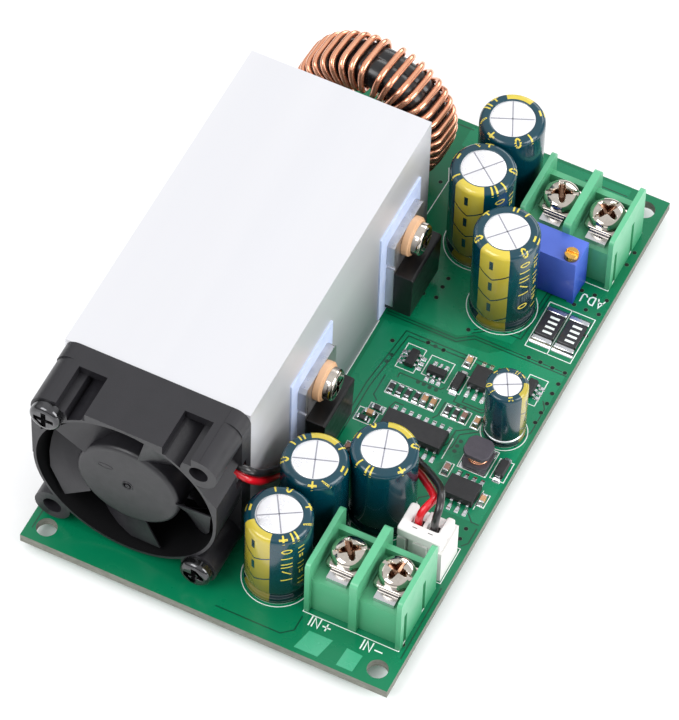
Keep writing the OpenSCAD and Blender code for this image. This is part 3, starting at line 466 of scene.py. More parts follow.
def plug():
    """The plug: a lipped top with an ear at each corner, two open ways for the wires and their catches; the ways and
    the catches' slots are thin near-black sheets, painted shade for the openings.
    """
    s = Shape()
    left, right, front, back = 51.2, 58.3, 20.2, 25.4

    def eased(ring, reach, z0, z1, cut=0):
        s.prism(rounded(ring, reach, closed=True), z0, z1, 0, cut)

    eased(corners(52.1, 21.4, 57.4, 25.3), 0.2, 2, 8.7)
    lip = [(left, front), (right, front), (right, 22.4), (right - 0.55, 22.7), (right, 23.1), (right, back),
           (left, back), (left, 23.3), (left + 0.55, 22.8), (left, 22.4)]
    eased(lip, 0.45, 8.05, 8.75, 0.06)
    bar = [(left, front), (right, front), (right, 22.4), (right - 0.5, 22.6), (57.15, 22), (left + 1.4, 22),
           (left + 0.5, 22.6), (left, 22.4)]
    eased(bar, 0.45, 8.7, PLUG_TOP, 0.14)
    for x0, x1 in ((left, 52.6), (57, right)):
        eased(corners(x0, 22, x1, back), 0.5, 8.7, PLUG_TOP - 0.04, 0.16)
    eased(corners(54.45, 21.9, 55.1, 25.1), 0.15, 8.7, PLUG_TOP - 0.1, 0.1)
    for x in (53.55, 56.05):
        # thin near-black sheets: painted shade standing for the open ways and the catches' slots
        s.prism(rounded(corners(x - 0.72, 22.02, x + 0.72, 23.6), 0.1, closed=True), 8.76, 8.79, 1)
        s.prism(corners(x - 0.35, 21.3, x + 0.4, 21.42), PLUG_TOP, PLUG_TOP + 0.012, 1)
        s.prism(corners(x - 0.6, 20.8, x + 0.6, 21.3), 3, 8.1, 0, 0.1)
    return s.piece("lead_plug", ["white", "hole"], replaces=["fan_plug"])


PLUG = plug()

# ---------------------------- the fan lead

RED = [(20.6, 13.2, 16.4), (24.35, 13.2, 17.6), (27.9, 13.15, 18.6), (29.5, 13.05, 18.1), (30.75, 13.75, 16.8),
       (31, 16.2, 13.4), (31, 19.8, 9.4), (31, 23, 6.6), (31.4, 26.2, 5.4), (33.4, 28.4, 5), (36.8, 29.6, 4.8),
       (40.4, 32.4, 4.9), (44.4, 34.2, 5), (48.6, 32.6, 6.2), (51.3, 30, 8.5), (53.6, 27.2, 11), (54.5, 25.6, 12.2),
       (54.3, 24.2, 12.4), (53.8, 23.1, 11.6), (53.55, 22.8, 10), (53.55, 22.8, 8)]
BLACK = [(20.2, 13.2, 17.7), (24, 13.2, 18.9), (27.6, 13.2, 19.9), (29.4, 13.1, 20.1), (30.8, 13.6, 19.2),
         (31.2, 15.4, 16.6), (31, 18.7, 12.5), (31, 22.5, 8.5), (31.4, 26.3, 6.8), (33.6, 28.7, 6.3),
         (36.9, 30.4, 6.1), (40.2, 33.2, 6.2), (44.4, 35.6, 6.3), (49, 33.2, 7.5), (51.7, 30.8, 9.8),
         (54.5, 27.8, 12.2), (55.6, 25.6, 13.4), (56.1, 24.1, 13.2), (56.15, 23.1, 12), (56.05, 22.8, 10.2),
         (56.05, 22.8, 8)]
WIRE_D = 1.2


def wire(name, route, mat):
    """One wire of the fan's lead: a tube along its route."""
    s = Shape()
    line = catmull(route, 6)
    s.tube(line, WIRE_D / 2, 16)
    o = s.piece(name, [mat], replaces=[name.replace("_lead", "_wire")])
    return o


wire("fan_red_lead", RED, "red")
wire("fan_black_lead", BLACK, "black")

# ---------------------------- circuit board


def board():
    """The CAD board's own mesh, with the laminate showing at its edges and in its holes."""
    me = NODES["pcb"].data.copy()
    me.materials.clear()
    for m in ("mask", "laminate"):
        me.materials.append(M[m])
    bm = bmesh.new()
    bm.from_mesh(me)
    bmesh.ops.remove_doubles(bm, verts=bm.verts, dist=1e-6)
    bmesh.ops.dissolve_limit(bm, angle_limit=math.radians(1), verts=bm.verts, edges=bm.edges)
    for f in bm.faces:
        f.material_index = 0 if abs(f.normal.z) > 0.5 else 1
        f.smooth = abs(f.normal.z) < 0.5
    for e in bm.edges:
        e.smooth = len(e.link_faces) == 2 and e.calc_face_angle() < math.radians(35)
    bm.to_mesh(me)
    bm.free()
    o = bpy.data.objects.new("board", me)
    scene.collection.objects.link(o)
    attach(o, "module")
    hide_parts("pcb")


board()


def rect(x0, y0, x1, y1):
    """The same as a closed line."""
    return [*corners(x0, y0, x1, y1), (x0, y0)]


def circle(x, y, r, n=48):
    angles = [math.radians(360 * i / n) for i in range(n + 1)]
    return [(x + r * math.cos(a), y + r * math.sin(a)) for a in angles]


# can capacitors: middle x and y, radius, height, radius of the sleeve's mouth, the way its stripe faces in degrees
CAPS = [(36.9, 10.7, 5.05, 16.4, 3.45, -108), (37.3, 21.5, 5.05, 16.4, 3.45, 95), (45.4, 27.8, 5.05, 16.4, 3.45, 80),
        (36.9, 89, 5.05, 18.9, 3.45, 100), (37, 78.6, 5.05, 18.9, 3.45, -92), (45.2, 69.55, 5.05, 18.9, 3.45, -89),
        (55.3, 48.9, 3.2, 12.2, 2.15, 5)]
GLYPHS = {                    # the strokes of each letter, one unit tall
    "I": [[(0.25, 0), (0.25, 1)]], "N": [[(0, 0), (0, 1), (0.6, 0), (0.6, 1)]],
    "+": [[(0.1, 0.45), (0.8, 0.45)], [(0.45, 0.1), (0.45, 0.8)]], "-": [[(0.1, 0.4), (0.8, 0.4)]],
    "A": [[(0, 0), (0.35, 1), (0.7, 0)], [(0.13, 0.35), (0.57, 0.35)]],
    "D": [[(0, 0), (0, 1), (0.35, 1), (0.6, 0.78), (0.6, 0.22), (0.35, 0), (0, 0)]],
    "J": [[(0, 0.2), (0.15, 0), (0.4, 0), (0.5, 0.2), (0.5, 1)]],
}


LETTER_GAP = 0.32
PRINT_Z = 0.02
THIN, BOLD = 0.14, 0.22       # widths of the print's lines


def words(text, x, y, h, turned=False):
    """The strokes of a word of height h that starts at x and y, turned half round if asked."""
    out, pen = [], 0.0
    s = -1 if turned else 1
    for ch in text:
        out += [[(x + s * (pen + px) * h, y + s * py * h) for px, py in line] for line in GLYPHS[ch]]
        pen += max(px for line in GLYPHS[ch] for px, py in line) + LETTER_GAP
    return out


def board_print():
    """Part outlines, the rings round the cans and the few plain words."""
    s = Shape()
    thin = [rect(42.9, 6.9, 58.3, 19.2), rect(42.9, 79.3, 58.3, 91.6),
            rect(35.7, 52.2, 38.7, 56.9), rect(39.8, 52.7, 43.6, 56.5), rect(54.4, 55, 57.4, 60),
            rect(51.4, 64.5, 58.9, 73.5), [(55.05, 64.5), (55.05, 73.5)], rect(51.8, 40.05, 56.4, 45.05),
            [(26.8, 89.4), (27.8, 87.2), (27.6, 79.5)], [(29.9, 40), (29.9, 58.6)], rect(50.9, 20.2, 58.6, 27),
            [(49.2, 40.25), (49.2, 44.2)], [(57.25, 34.2), (57.25, 37.8)], rect(44.55, 51.8, 46.5, 55.4),
            rect(57, 40.4, 59.2, 44.2), [(51.3, 53.6), (51.3, 57.2)]]
    thin += [circle(x, y, r + 0.35) for x, y, r, *_ in CAPS]
    thin += [rect(36.35, 47.2, 41.75, 49.6), rect(41.8, 47.2, 44.45, 49.8), rect(45.65, 47.2, 49.7, 49.6),
             rect(50.45, 47.2, 51.75, 49.6), rect(35.5, 43.35, 37.9, 44.65), rect(34.3, 40.75, 37.4, 43.25),
             rect(44.65, 56.7, 45.95, 59.1), rect(50.05, 37.6, 51.35, 40.1), rect(57.2, 35, 58.5, 37.4),
             rect(35.35, 34.4, 36.65, 36.8)]
    s.strokes(thin, THIN, PRINT_Z)
    bold = words("IN+", 44.2, 5.15, 1.55) + words("IN-", 52.7, 4.95, 1.55)
    bold += words("ADJ", 58.8, 77.2, 1.45, turned=True)
    s.strokes(bold, BOLD, PRINT_Z)
    pin_marks = [circle(41.6, 40.2, 0.3, 16), circle(47.3, 53.6, 0.25, 16)]
    s.strokes(pin_marks, 0.12, PRINT_Z)
    s.piece("board_print", ["print"])


board_print()

# copper under the solder mask: areas, the gaps between them, open plated holes and holes closed by the mask
LIGHT_AREAS = [
    [(30.6, 59.2), (30.6, 33), (33.2, 32), (40, 34.2), (49.6, 37), (52, 32), (59.2, 32), (59.2, 62.8), (50, 62.8),
     (47, 60.6)],
    [(30.6, 61.5), (41.6, 61.5), (44.4, 63.4), (49.6, 63.8), (50.6, 76), (44.6, 77.5), (30.6, 73)],
    [(26.6, 94.2), (53.6, 94.2), (53.6, 98.2), (26.6, 98.2)],
]
PALE_AREAS = [[(44.4, 0.8), (48.2, 0.8), (49, 4.3), (45.2, 4.3)], [(51.2, 0.8), (53.8, 0.8), (54, 3.9), (51.4, 4.1)]]
GAPS = [[(30.3, 60.4), (41.9, 60.4), (44.2, 62.1), (59.3, 62.1)],
        [(30.3, 60.9), (41.6, 60.9), (43.9, 62.6), (59.3, 62.6)],
        [(33.2, 32), (33.2, 47.6), (34.4, 58.8), (48.6, 58.8)],
        [(33.9, 33), (33.9, 47.2), (35.1, 58.1), (48.4, 58.1)],
        [(43.4, 62.9), (46.5, 65.2), (50.4, 65.2), (50.9, 74.5), (51.9, 76.3), (53.8, 76.3)],
        [(43.4, 63.6), (46.2, 65.9), (49.8, 65.9), (50.3, 74.8), (51.6, 76.9), (53.4, 76.9)],
        [(48.9, 41.5), (49.7, 42.8), (49.7, 45.3), (52.5, 47.4)],
        [(47.8, 41.2), (48.9, 43.2), (48.9, 45.7), (51.2, 47.2)],
        [(47.5, 51.9), (47.5, 50.8), (50.7, 50.8), (51.6, 51.6), (51.6, 52.6)],
        [(46.3, 51.6), (46.3, 50.3), (50.9, 50.3), (52.1, 51.5), (52.1, 53)],
        [(58.2, 56.4), (59, 55.2), (59, 50.3), (58.3, 49.2), (57.9, 47)],
        [(36.9, 50.6), (36.9, 51.4), (43.6, 51.4), (44, 51.9)], [(38.2, 45), (38.6, 46.3), (39.9, 46.3)],
        [(44.8, 46.2), (45.3, 47), (45.3, 49.6)], [(36, 45.3), (35.1, 46.1), (35.1, 50)],
        [(50.6, 33.6), (49.2, 32.4), (49.2, 30.4)], [(56.9, 33.2), (58, 32), (59.1, 32)], [(53, 38.3), (53, 39.5)],
        [(27, 79.2), (27, 63), (29, 61)], [(46.5, 96.9), (53.4, 96.9)], [(37.5, 94.6), (53.4, 94.6)],
        [(38.5, 95.6), (53.4, 95.6)], [(1, 2), (1, 14)], [(2.2, 97.8), (27, 97.8)],
        [(31.2, 2), (41.6, 2), (43.2, 3.4), (43.2, 6)], [(59.1, 6), (59.1, 19.5)],
        [(58.5, 27.6), (59.2, 28.4), (59.2, 31.2)], [(49.8, 31.4), (49.8, 29), (51.2, 27.4)]]
VIAS = [(52.9, 62.7), (54.8, 62.7), (56.85, 62.6), (58.9, 62.6), (58.9, 60.3), (58.8, 58.3), (58.9, 56.3),
        (58.8, 54.4), (58.8, 52.4), (57.8, 30.6), (57.75, 28.6), (58.35, 8.25), (38.25, 58.3), (40.9, 58.1),
        (54.8, 74.7), (56.8, 74.6), (58.9, 74.7), (56.85, 77.7), (58.9, 77.6), (58.9, 70.2), (54.75, 77.6),
        (58.8, 85.1), (58.9, 87.7), (26.8, 86.4), (35.8, 70.4), (35.7, 68.6), (33.6, 66.2), (35.7, 66.4),
        (42.6, 63.2), (33.3, 56.2)]
TENTED = [(39.5, 58.2), (40.05, 51.1), (41, 51.1), (42, 51), (43.05, 51), (50.4, 44.3), (50.25, 43.3), (50.3, 42.3),
          (34.3, 53.8), (34.2, 52.4), (43.2, 49.4), (47.2, 49.9), (48.3, 49.9)]


def board_copper():
    """What shows of the copper through the mask, as thin layers on the board."""
    s = Shape()
    for mat, rings in enumerate((LIGHT_AREAS, PALE_AREAS)):
        for ring in rings:
            s.prism(ring, 0, 0.014, mat)
    s.piece("copper_pour", ["mask_light", "mask_pale"])
    g = Shape()
    g.strokes(GAPS, 0.2, 0, height=0.018)
    for x, y in TENTED:
        g.lathe([(0.34, 0), (0.34, 0.02), (0.1, 0.03)], (x, y), 20, 0, cap=True)
    g.piece("copper_gaps", ["mask_dark"])
    v = Shape()
    for x, y in VIAS:
        v.lathe([(0.42, 0), (0.42, 0.03), (0.33, 0.035)], (x, y), 24, 0)
        # a near-black disc down the via: painted shade standing for the open hole
        v.lathe([(0.33, 0.035), (0.33, 0.024)], (x, y), 24, 1, cap=True)
    v.piece("plated_holes", ["gold_hole", "hole"])


board_copper()

# ---------------------------- can capacitors

BIG_CAN = 4                   # radius over which a can has the larger bead, shoulder and marks
CAN_SIDES = 96
END_DEPTH = 0.13              # how far the can's end lies under the sleeve's mouth


def can_profile(r, h, mouth):
    """The sleeve's outline from its foot, over the bead and shoulder, to the mouth: (radius, height)."""
    big = r > BIG_CAN
    e = 0.9 if big else 0.65
    out = [(r - 0.5, 0.06), (r - 0.16, 0.12), (r, 0.35)]
    b0, b1, dip = (1.2, 2.9, 0.42) if big else (0.9, 2.1, 0.28)
    out += [(r - dip * math.sin(math.pi * k / 8) ** 2, b0 + (b1 - b0) * k / 8) for k in range(9)]
    out += [(r - e + e * math.cos(a), h - e + e * math.sin(a)) for a in circle_steps(32)[:9]]
    out += [(mouth + 0.25, h), (mouth + 0.06, h - 0.03), (mouth, h - 0.12), (mouth - 0.02, h - 0.4)]
    return out


def along(profile, s):
    """The point of the profile s millimetres along it, counted down from the mouth."""
    pts = profile[::-1]
    for (r0, z0), (r1, z1) in zip(pts, pts[1:]):
        d = math.hypot(r1 - r0, z1 - z0)
        if s <= d or (r1, z1) == pts[-1]:
            t = s / d if d else 0
            return r0 + (r1 - r0) * t, z0 + (z1 - z0) * t
        s -= d


# the marks on the sleeves, one unit tall: a ring, two bars, a plus, one bar, two dashes, a slanting stroke
SIGNS = [
    [[(0.32 * math.cos(math.radians(q)), 0.5 + 0.5 * math.sin(math.radians(q))) for q in range(0, 361, 30)]],
    [[(-0.3, 0), (-0.3, 1)], [(0.3, 0), (0.3, 1)]], [[(-0.4, 0.5), (0.4, 0.5)], [(0, 0.1), (0, 0.9)]],
    [[(0, 0), (0, 1)]], [[(-0.35, 0.25), (0.35, 0.25)], [(-0.35, 0.75), (0.35, 0.75)]],
    [[(-0.35, 0.1), (0.35, 0.9)]],
]
# where the rim's marks stand, in degrees round from the stripe's middle, and which sign each is
RIM_MARKS = [
    [(52, 2), (74, 1), (112, 5), (150, 2), (205, 0), (232, 3), (300, 4)],
    [(48, 1), (70, 3), (112, 0), (196, 2), (222, 5), (268, 4), (318, 3)],
    [(58, 0), (96, 4), (160, 3), (186, 1), (248, 2), (312, 0)],
]
END_TURNS = [0.55, 0.35, 0.3, 0.42, 0.9, 0.85, 0.5]        # how far each end's cross is turned, in radians


def sleeve(i):
    """The printed sleeve: a stripe with chevrons, and plain strokes, bars and rings in the place of printing."""
    x, y, r, h, mouth, facing = CAPS[i]
    big = r > BIG_CAN
    profile = can_profile(r, h, mouth)
    stripe = math.radians(facing)
    half = math.radians(29 if big else 26)
    s = Shape()
    rows = len(profile) - 1

    def paint(k):
        a = (k % CAN_SIDES + 0.5) / CAN_SIDES * 2 * math.pi
        d = (a - stripe + math.pi) % (2 * math.pi) - math.pi
        return 1 if abs(d) < half and 1 < k // CAN_SIDES < rows - 3 else 0

    s.lathe(profile, (x, y), CAN_SIDES, paint)
    total = sum(math.hypot(b[0] - a[0], b[1] - a[1]) for a, b in zip(profile, profile[1:]))

    def onto(u, t, lift):
        """u is millimetres round from the stripe's middle, t is millimetres down from the mouth's edge."""
        rr, z = along(profile, min(max(t, 0.3), total - 0.3))
        r2, z2 = along(profile, min(max(t + 0.05, 0.35), total - 0.25))
        nx, nz = -(z2 - z), (r2 - rr)
        k = math.hypot(nx, nz) or 1
        a = stripe + u / r
        rr, z = rr + nx / k * lift, z + nz / k * lift
        return (x + rr * math.cos(a), y + rr * math.sin(a), z)

    w = half * r
    chevrons, blocks = [], []
    step = 5.2 if big else 3.8
    t = 3.6
    while t < total - 4.5:
        blocks.append([(-0.25, t), (-0.25, t + step * 0.26)])
        if t + step * 0.75 < total - 3:
            chevrons.append([(-w, t + step * 0.5), (0, t + step * 0.78), (w, t + step * 0.5)])
        t += step
    s.strokes(chevrons, 0.26 if big else 0.18, 0, 2, onto, 0.014, 0.35)
    s.strokes(blocks, 0.62 if big else 0.4, 0, 2, onto, 0.014, 0.35)

    k = 1 if big else 0.62
    rim = []
    for deg, sign in RIM_MARKS[i % len(RIM_MARKS)]:
        u = math.radians(deg) * r
        rim += [[(u + a * 1.35 * k, 0.8 * k + b * 1.5 * k) for a, b in line] for line in SIGNS[sign]]
    s.strokes(rim, 0.32 * k, 0, 3, onto, 0.016, 0.3)
    side = []
    columns = [(w + 1.8, (0, 3, 1, 5, 3), 1.35), (w + 4.4, (3, 3, 4), 0.8)] if big else [(w + 1.2, (3, 0), 0.7)]
    for u0, row, tall in columns:
        t, count = 4.2, 0
        while t < total - 4.6:
            side += [[(u0 + b * tall * 1.1, t + a * tall) for a, b in line] for line in SIGNS[row[count % len(row)]]]
            count += 1
            t += tall * (1.35 if count % len(row) else 2.3)
    s.strokes(side, 0.22 * k + 0.02, 0, 3, onto, 0.014, 0.3)
    s.piece("sleeve_%d" % (i + 1), ["sleeve", "stripe", "stripe_mark", "rim_print"],
            replaces=["capacitor_sleeves"] if i == 0 else (), angle=50)


def can_end(i):
    """The can's end, scored with a cross whose quarters stand a little proud."""
    x, y, _, h, mouth, _ = CAPS[i]
    e = Shape()
    rings, spin = 26, END_TURNS[i]

    def end_z(px, py):
        """The end's height at a point measured along its cross."""
        q = min(abs(px), abs(py))
        edge = 1 - (min(math.hypot(px, py) / mouth, 1)) ** 4
        quarter = 1 if px * py > 0 else 0.55
        return h - END_DEPTH + edge * 0.15 * quarter * min(1, max(0, q - 0.1))

    v = []
    for j in range(rings + 1):
        rr = mouth * j / rings
        for a in circle_steps(CAN_SIDES):
            z = end_z(rr * math.cos(a), rr * math.sin(a)) - (0.12 if j == rings else 0)
            v.append((x + rr * math.cos(a + spin), y + rr * math.sin(a + spin), z))
    e.add(v, bands(rings + 1, CAN_SIDES))

    def onto_end(px, py, lift):
        c, q = math.cos(spin), math.sin(spin)
        return (x + px * c - py * q, y + px * q + py * c, end_z(px, py) + lift)

    reach = mouth * 0.94
    # the cross's lines are darker grey ribbons: painted shade of the scored grooves
    e.strokes([[(-reach, 0), (reach, 0)], [(0, -reach), (0, reach)]], 0.2, 0, 1, onto_end, 0.012, 0.3)
    e.piece("can_end_%d" % (i + 1), ["can", "score"], angle=80)


for i in range(len(CAPS)):
    sleeve(i)
    can_end(i)

# ---------------------------- ring inductor

RING = Vector((15.6, 85.8, 13.2))
YAW = math.radians(-3)
CORE_OD, CORE_ID, CORE_H, COIL = 23.9, 14.2, 6.9, 1       # COIL is the wire's diameter
CORE_EDGE, BEND = 2.2, 2.6
TURN_STEP = 8.8               # degrees from one turn of wire to the next


def on_ring(r, a, y):
    """A point of the upright ring: radius, degrees round from its right side, distance behind its middle."""
    v = Vector((r * math.cos(math.radians(a)), y, r * math.sin(math.radians(a))))
    return RING + Vector((v.x * math.cos(YAW) - v.y * math.sin(YAW), v.x * math.sin(YAW) + v.y * math.cos(YAW), v.z))


def winding():
    """One wire wound thirty times round the ring's section, from one foot in the board to the other."""
    gap = 0.04
    outer, inner, face = (CORE_OD + COIL) / 2 + gap, (CORE_ID - COIL) / 2 - gap, (CORE_H + COIL) / 2 + gap
    turns = [92 + i * TURN_STEP for i in range(14, -1, -1)] + [78, 69.5, 60.5, 52]
    turns += [42 - i * TURN_STEP for i in range(11)]
    first, last = turns[0] + 0.8 * TURN_STEP, turns[-1] - 0.8 * TURN_STEP
    line = []
    for a, b in zip(turns, turns[1:] + [last]):
        line += [on_ring(outer, a + 1.5, -face), on_ring(outer, a - 1, face),
                 on_ring(inner, a - 0.5, face), on_ring(inner, b + 0.5, -face)]

    def foot(a):
        p = on_ring(outer - COIL / 2 - gap, a, -(CORE_H + COIL) / 2)
        return [(p.x, p.y, -3.1), (p.x, p.y, 1.2)]

    line = foot(first) + line + foot(last)[::-1]
    s = Shape()
    s.tube(rounded(line, BEND, 7), COIL / 2, 14)
    s.piece("ring_winding", ["copper"], replaces=["toroid_winding"], angle=60)


winding()


def ring_core():
    """Two stacked rings under a taped coating, with the tape's edge showing as a step."""
    s = Shape()
    r0, r1, h = CORE_ID / 2, CORE_OD / 2, CORE_H / 2
    arc = [(CORE_EDGE * math.cos(a), CORE_EDGE * math.sin(a)) for a in circle_steps(24)[:7]]
    prof = [(r1 - CORE_EDGE + c, h - CORE_EDGE + q) for c, q in arc]
    prof += [(r0 + CORE_EDGE - q, h - CORE_EDGE + c) for c, q in arc]
    back = [(r, -y) for r, y in prof[::-1]]
    loop = [(r1, 0.12), *prof, (r0, 0), *back, (r1, -0.12), (r1 - 0.14, 0)]
    n = 120
    v = []
    for i in range(n):
        a = 360 * i / n
        wob = 0.05 * math.sin(i * 1.9) + 0.04 * math.sin(i * 0.7 + 1)
        v += [on_ring(r + (wob if r > r0 + 1 else -wob) * (0 if r > r1 - 0.01 else 0.6), a, y) for r, y in loop]
    s.add(v, bands(n, len(loop), closed=True))
    s.piece("ring_core", ["core"], replaces=["toroid_core"], angle=60)


ring_core()

# ---------------------------- surface parts

# middle x and y, then 1 if the part lies a quarter round; for the chips, the leads on each side
RESISTORS = [(37, 48.4, 0), (38.35, 48.4, 0), (39.7, 48.4, 0), (41.1, 48.5, 0), (46.3, 48.4, 0), (47.65, 48.4, 0),
             (36.7, 44, 1), (35.5, 41.4, 1)]
CERAMICS = [(42.45, 48.5, 0), (43.8, 48.5, 0), (49, 48.4, 0), (45.3, 57.9, 0), (51.1, 48.4, 0), (50.7, 38.9, 0),
            (57.85, 36.2, 0), (36.2, 42.6, 1), (36, 35.6, 0)]
SMALL_T = [(37.5, 54.3, 0), (41.9, 53.7, 1), (55.6, 57.4, 0)]
CHIPS = [(43.55, 42.35, 8), (54.5, 36, 4), (49.4, 55.4, 4)]
LEAD_PITCH = 1.27
SEAT = 0.05                   # how far a small part's body stands off the board


def spun(x, y, quarter):
    """A function from a part's own millimetres to the board's, turned a quarter if asked."""
    return (lambda px, py: (x - py, y + px)) if quarter else (lambda px, py: (x + px, y + py))


def block(s, put, lo, hi, mat, k):
    """A box between two opposite corners, its upright edges and its top's edge cut back by k."""
    (x0, x1), (y0, y1) = (sorted(q) for q in zip(put(*lo[:2]), put(*hi[:2])))
    ring = [(x0 + k, y0), (x1 - k, y0), (x1, y0 + k), (x1, y1 - k), (x1 - k, y1), (x0 + k, y1), (x0, y1 - k),
            (x0, y0 + k)]
    s.prism(ring, lo[2], hi[2], mat, k)


def fillet(s, put, x0, x1, y_in, y_out, top, mat):
    """Solder run up against a part's end: a hollow slope from the pad to the metal."""
    n = 6
    prof = [(y_in + (y_out - y_in) * k / n, top * (1 - k / n) ** 1.8 + 0.04) for k in range(n + 1)]
    prof += [(y_out, 0), (y_in, 0)]
    v = [(*put(x, y), z) for x in (x0, x1) for y, z in prof]
    s.add(v, bands(2, len(prof)) + ends(2, len(prof)), mat)


def chip_parts(name, parts, h, mats, node):
    """Parts of 0.8 x 1.6 mm: a body with metal caps at its ends and solder run up against them."""
    w, l, cap = 0.8, 1.6, 0.3
    s = Shape()
    for k, (x, y, q) in enumerate(parts):
        put = spun(x, y, q)
        body = 2 if k % 3 == 2 and len(mats) == 3 else 0
        block(s, put, (0.02 - w / 2, cap - l / 2, SEAT), (w / 2 - 0.02, l / 2 - cap, SEAT + h - 0.03), body, 0.03)
        for t in (-1, 1):
            block(s, put, (-w / 2, t * (l / 2 - cap), 0.03), (w / 2, t * l / 2, SEAT + h), 1, 0.05)
            fillet(s, put, -w / 2 - 0.04, w / 2 + 0.04, t * (l / 2 - 0.02), t * (l / 2 + 0.42), h * 0.7, 1)
    s.piece(name, mats, replaces=[node])


chip_parts("chip_resistor_parts", RESISTORS, 0.5, ["film", "tin"], "chip_resistors")
chip_parts("chip_capacitor_parts", CERAMICS, 0.8, ["ceramic", "tin", "ceramic_dark"], "chip_capacitors")


def shunts():
    """The two current sense resistors, each with four plain bars on its coat."""
    s = Shape()
    w, l, h = 3.2, 6.35, 0.65
    for x, y in ((53.3, 69.1), (57, 69.1)):
        put = spun(x, y, 0)
        block(s, put, (-w / 2 + 0.03, -l / 2 + 1.05, SEAT), (w / 2 - 0.03, l / 2 - 1.05, SEAT + h), 0, 0.06)
        block(s, put, (-w / 2 + 0.25, -l / 2 + 0.6, SEAT), (w / 2 - 0.25, l / 2 - 0.6, SEAT + h - 0.1), 3, 0.04)
        for t in (-1, 1):
            block(s, put, (-w / 2, t * (l / 2 - 0.75), 0.03), (w / 2, t * l / 2, SEAT + h - 0.03), 1, 0.08)
            fillet(s, put, -w / 2 - 0.1, w / 2 + 0.1, t * (l / 2 - 0.02), t * (l / 2 + 0.55), h * 0.75, 1)
        bars = [[(x - 0.3, y - 1.4 + k * 0.95), (x + 0.8, y - 1.4 + k * 0.95)] for k in range(4)]
        s.strokes(bars, 0.42, SEAT + h + 0.001, 2)
    s.piece("sense_resistors", ["film", "tin", "print", "epoxy"], replaces=["shunt_resistors"])


shunts()


def pads():
    """Solder on the pads under the chips' feet and beside the bigger parts."""
    s = Shape()
    for x, y, n in CHIPS:
        for i in range(n):
            put = spun(x + (i - (n - 1) / 2) * LEAD_PITCH, y, 0)
            for t in (-1, 1):
                block(s, put, (-0.3, t * 2.2, 0), (0.3, t * 3.55, 0.035), 0, 0.01)
                fillet(s, put, -0.26, 0.26, t * 3.1, t * 3.5, 0.12, 0)
    for x, y, q in SMALL_T:
        put = spun(x, y, not q)
        for t, cols in ((-1, (-0.95, 0, 0.95)), (1, (-0.95, 0.95))):
            for c in cols:
                block(s, put, (c - 0.32, t * 0.95, 0), (c + 0.32, t * 1.95, 0.04), 0, 0.01)
                fillet(s, put, c - 0.26, c + 0.26, t * 1.45, t * 1.9, 0.14, 0)
    for x, y in ((58.1, 42.3), (45.5, 53.6)):            # the two small diodes
        put = spun(x, y, 0)
        for t in (-1, 1):
            block(s, put, (-0.6, t * 1.2, 0), (0.6, t * 2.35, 0.04), 0, 0.01)
            fillet(s, put, -0.55, 0.55, t * 1.75, t * 2.3, 0.3, 0)
    for t in (-1, 1):                                    # the small choke
        block(s, spun(54.1, 42.5, 0), (-2.1, t * 1.25, 0), (2.1, t * 2.45, 0.05), 0, 0.01)
    s.piece("soldered_pads", ["tin"])


pads()

# ---------------------------- terminal screws and washers

# middle x and y of each terminal's way, and how far its screw is turned, in degrees
WAYS = [(47.125, 13.2, 38), (54.725, 13.2, -12), (47.125, 85.6, 24), (54.725, 85.6, 62)]
WASHER_Z, WASHER_HALF = 8.2, 2.85
HEAD_Z, HEAD_R, SHANK_R = 9.2, 2.8, 1.46


def saddle(i):
    """A square clamping washer, dished, with rounded corners and a bright rim."""
    x, y = WAYS[i][:2]
    s = Shape()
    n = 96
    # each row round the washer: part of the half width, height, and how square it is
    rows = [(0.97, 0.02, 7), (1, 0.12, 7), (1, 0.5, 7), (0.985, 0.66, 7), (0.95, 0.76, 6), (0.88, 0.84, 5),
            (0.8, 0.9, 3.2), (0.72, 0.97, 2.4), (0.6, 1, 2), (0.51, 1, 2)]
    v = []
    for size, z, power in rows:
        for a in circle_steps(n):
            c, q = math.cos(a), math.sin(a)
            rr = WASHER_HALF * size / (abs(c) ** power + abs(q) ** power) ** (1 / power)
            v.append((x + rr * c, y + rr * q, WASHER_Z + z))
    s.add(v, bands(len(rows), n))
    s.piece("saddle_%d" % (i + 1), ["washer"], body="washer_%d" % (i + 1),
            replaces=["terminal_washer_%d" % (i + 1)], angle=60)


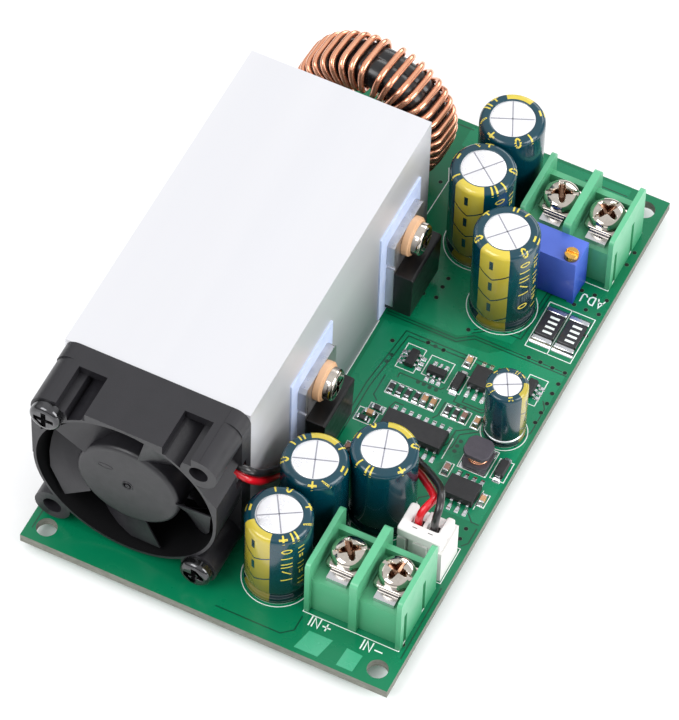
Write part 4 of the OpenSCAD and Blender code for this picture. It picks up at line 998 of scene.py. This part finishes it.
def driver_screw(i):
    """A plated screw head with a cross recess and one slot that runs through its rim."""
    x, y, turned = WAYS[i]
    s = Shape()
    n, rings = 144, 34
    s.lathe([(SHANK_R, HEAD_Z - 4), (SHANK_R, HEAD_Z + 0.02), (HEAD_R - 0.08, HEAD_Z + 0.02), (HEAD_R, HEAD_Z + 0.12),
             (HEAD_R, HEAD_Z + 0.5), (HEAD_R - 0.03, HEAD_Z + 0.8)], (x, y), n, 0)
    spin = math.radians(turned)

    def top(px, py):
        """The domed head's height at a point measured along its cross, and 1 if that is in the recess."""
        z = HEAD_Z + 0.75 + 1.05 * max(0, 1 - (math.hypot(px, py) / (HEAD_R - 0.02)) ** 2.6) ** 0.5
        deep = 0.0
        for u, w in ((px, py), (py, px)):
            arm = 0.62 - 0.09 * abs(u)
            wall = min(1, max(0, (arm - abs(w)) / 0.3))
            deep = max(deep, wall * max(0, 1 - (abs(u) / 2.05) ** 1.5) * 1.4)
        z -= deep
        if abs(py) < 0.34:
            z = min(z, HEAD_Z + 1.22)
        return z, 1 if deep > 0.3 else 0

    v, marks = [], []
    for j in range(rings + 1):
        rr = (HEAD_R - 0.03) * (1 - j / rings)
        for a in circle_steps(n):
            px, py = rr * math.cos(a), rr * math.sin(a)
            z, m = top(px, py)
            if j == 0:
                z = min(z, HEAD_Z + 0.8)
            v.append((x + rr * math.cos(a + spin), y + rr * math.sin(a + spin), z))
            marks.append(m)
    f = bands(rings + 1, n)
    # faces deep in the recess get the dark brown colour: painted reflection and shade
    s.add(v, f, lambda q: 1 if all(marks[w] for w in f[q]) else 0)
    s.piece("driver_screw_%d" % (i + 1), ["chrome", "recess"], body="screw_%d" % (i + 1),
            replaces=["terminal_screw_%d" % (i + 1)], angle=30)


for i in range(len(WAYS)):
    saddle(i)
    driver_screw(i)

# ---------------------------- the fan's small features

FAN = Vector((15, 4.6, 15.6))               # middle of the fan's front face
HUB = FAN + Vector((0, 0.9, 0))             # middle of the impeller's hub, a little behind that face
BORE_R = 14.4


def hub_marks():
    """The moulded ring round the hub's centre, the small one inside it and the oval gate mark beside them."""
    s = Shape()
    for x, z, a, b, r, sunk in ((0, 0, 0.85, 0.85, 0.16, 0.05), (0.1, -0.05, 0.22, 0.22, 0.16, 0.02),
                                (-3.5, 2.7, 1.2, 0.42, 0.1, 0.03)):
        angles = [math.radians(q) for q in range(0, 361, 12)]
        s.tube([HUB + Vector((x + a * math.cos(q), sunk, z + b * math.sin(q))) for q in angles], r, 10)
    s.piece("hub_marks", ["fan"], body="fan_rotor")


hub_marks()

# ---------------------------- the CAD solids that stay

# how far each node's edges are eased, in mm, under the surface that it gets
EASED = {
    "alloy": {"heatsink": 0.12}, "black_screw": {"heatsink_screws": 0.1, "fan_screws": 0.08},
    "fan": {"fan_frame": 0.14, "fan_impeller": 0}, "steel": {"fan_shaft": 0, "fan_stator_core": 0},
    "brass": {"fan_bearing": 0, "trimmer_screw": 0.1}, "ferrite": {"fan_magnet_ring": 0, "choke_core": 0.12},
    "copper": {"fan_stator_coils": 0, "choke_winding": 0}, "fan_board": {"fan_circuit_board": 0},
    "white": {"fan_header": 0.1}, "lead": {"fan_header_pins": 0.03, "trimmer_pins": 0, "chip_leads": 0.03},
    "terminal": {"input_terminal_housing": 0.14, "output_terminal_housing": 0.14},
    "contact": {"input_terminal_contacts": 0.05, "output_terminal_contacts": 0.05},
    "epoxy_gloss": {"transistor_body": 0.15, "rectifier_body": 0.15},
    "tab": {"transistor_tab": 0.08, "rectifier_tab": 0.08}, "pad": {"insulating_pads": 0.05},
    "bush": {"insulating_bushes": 0.15}, "chrome": {"device_screws": 0.08}, "blue": {"trimmer_body": 0.12},
    "epoxy": {"controller_chip": 0.05, "driver_chips": 0.05, "small_semiconductors": 0.04},
    "tin": {"solder_joints": 0}, "can": {"capacitor_%d" % i: 0 for i in range(1, 8)},
}
for mat, nodes in EASED.items():
    for node, bevel in nodes.items():
        finish_node(node, mat, bevel)


def paint_bore_shade():
    """The fan frame's bore gets a near-black colour: painted shade of a deep, unlit wall."""
    me = NODES["fan_frame"].data
    me.materials.append(M["fan_bore_painted_shade"])
    axis = at(*FAN)
    to_frame = NODES["fan_frame"].matrix_world
    for p in me.polygons:
        c = to_frame @ p.center
        n = to_frame.to_3x3() @ p.normal
        out = Vector((c.x - axis.x, 0, c.z - axis.z))
        if out.length < BORE_R * MM and abs(n.normalized().y) < 0.4:
            p.material_index = 1


paint_bore_shade()
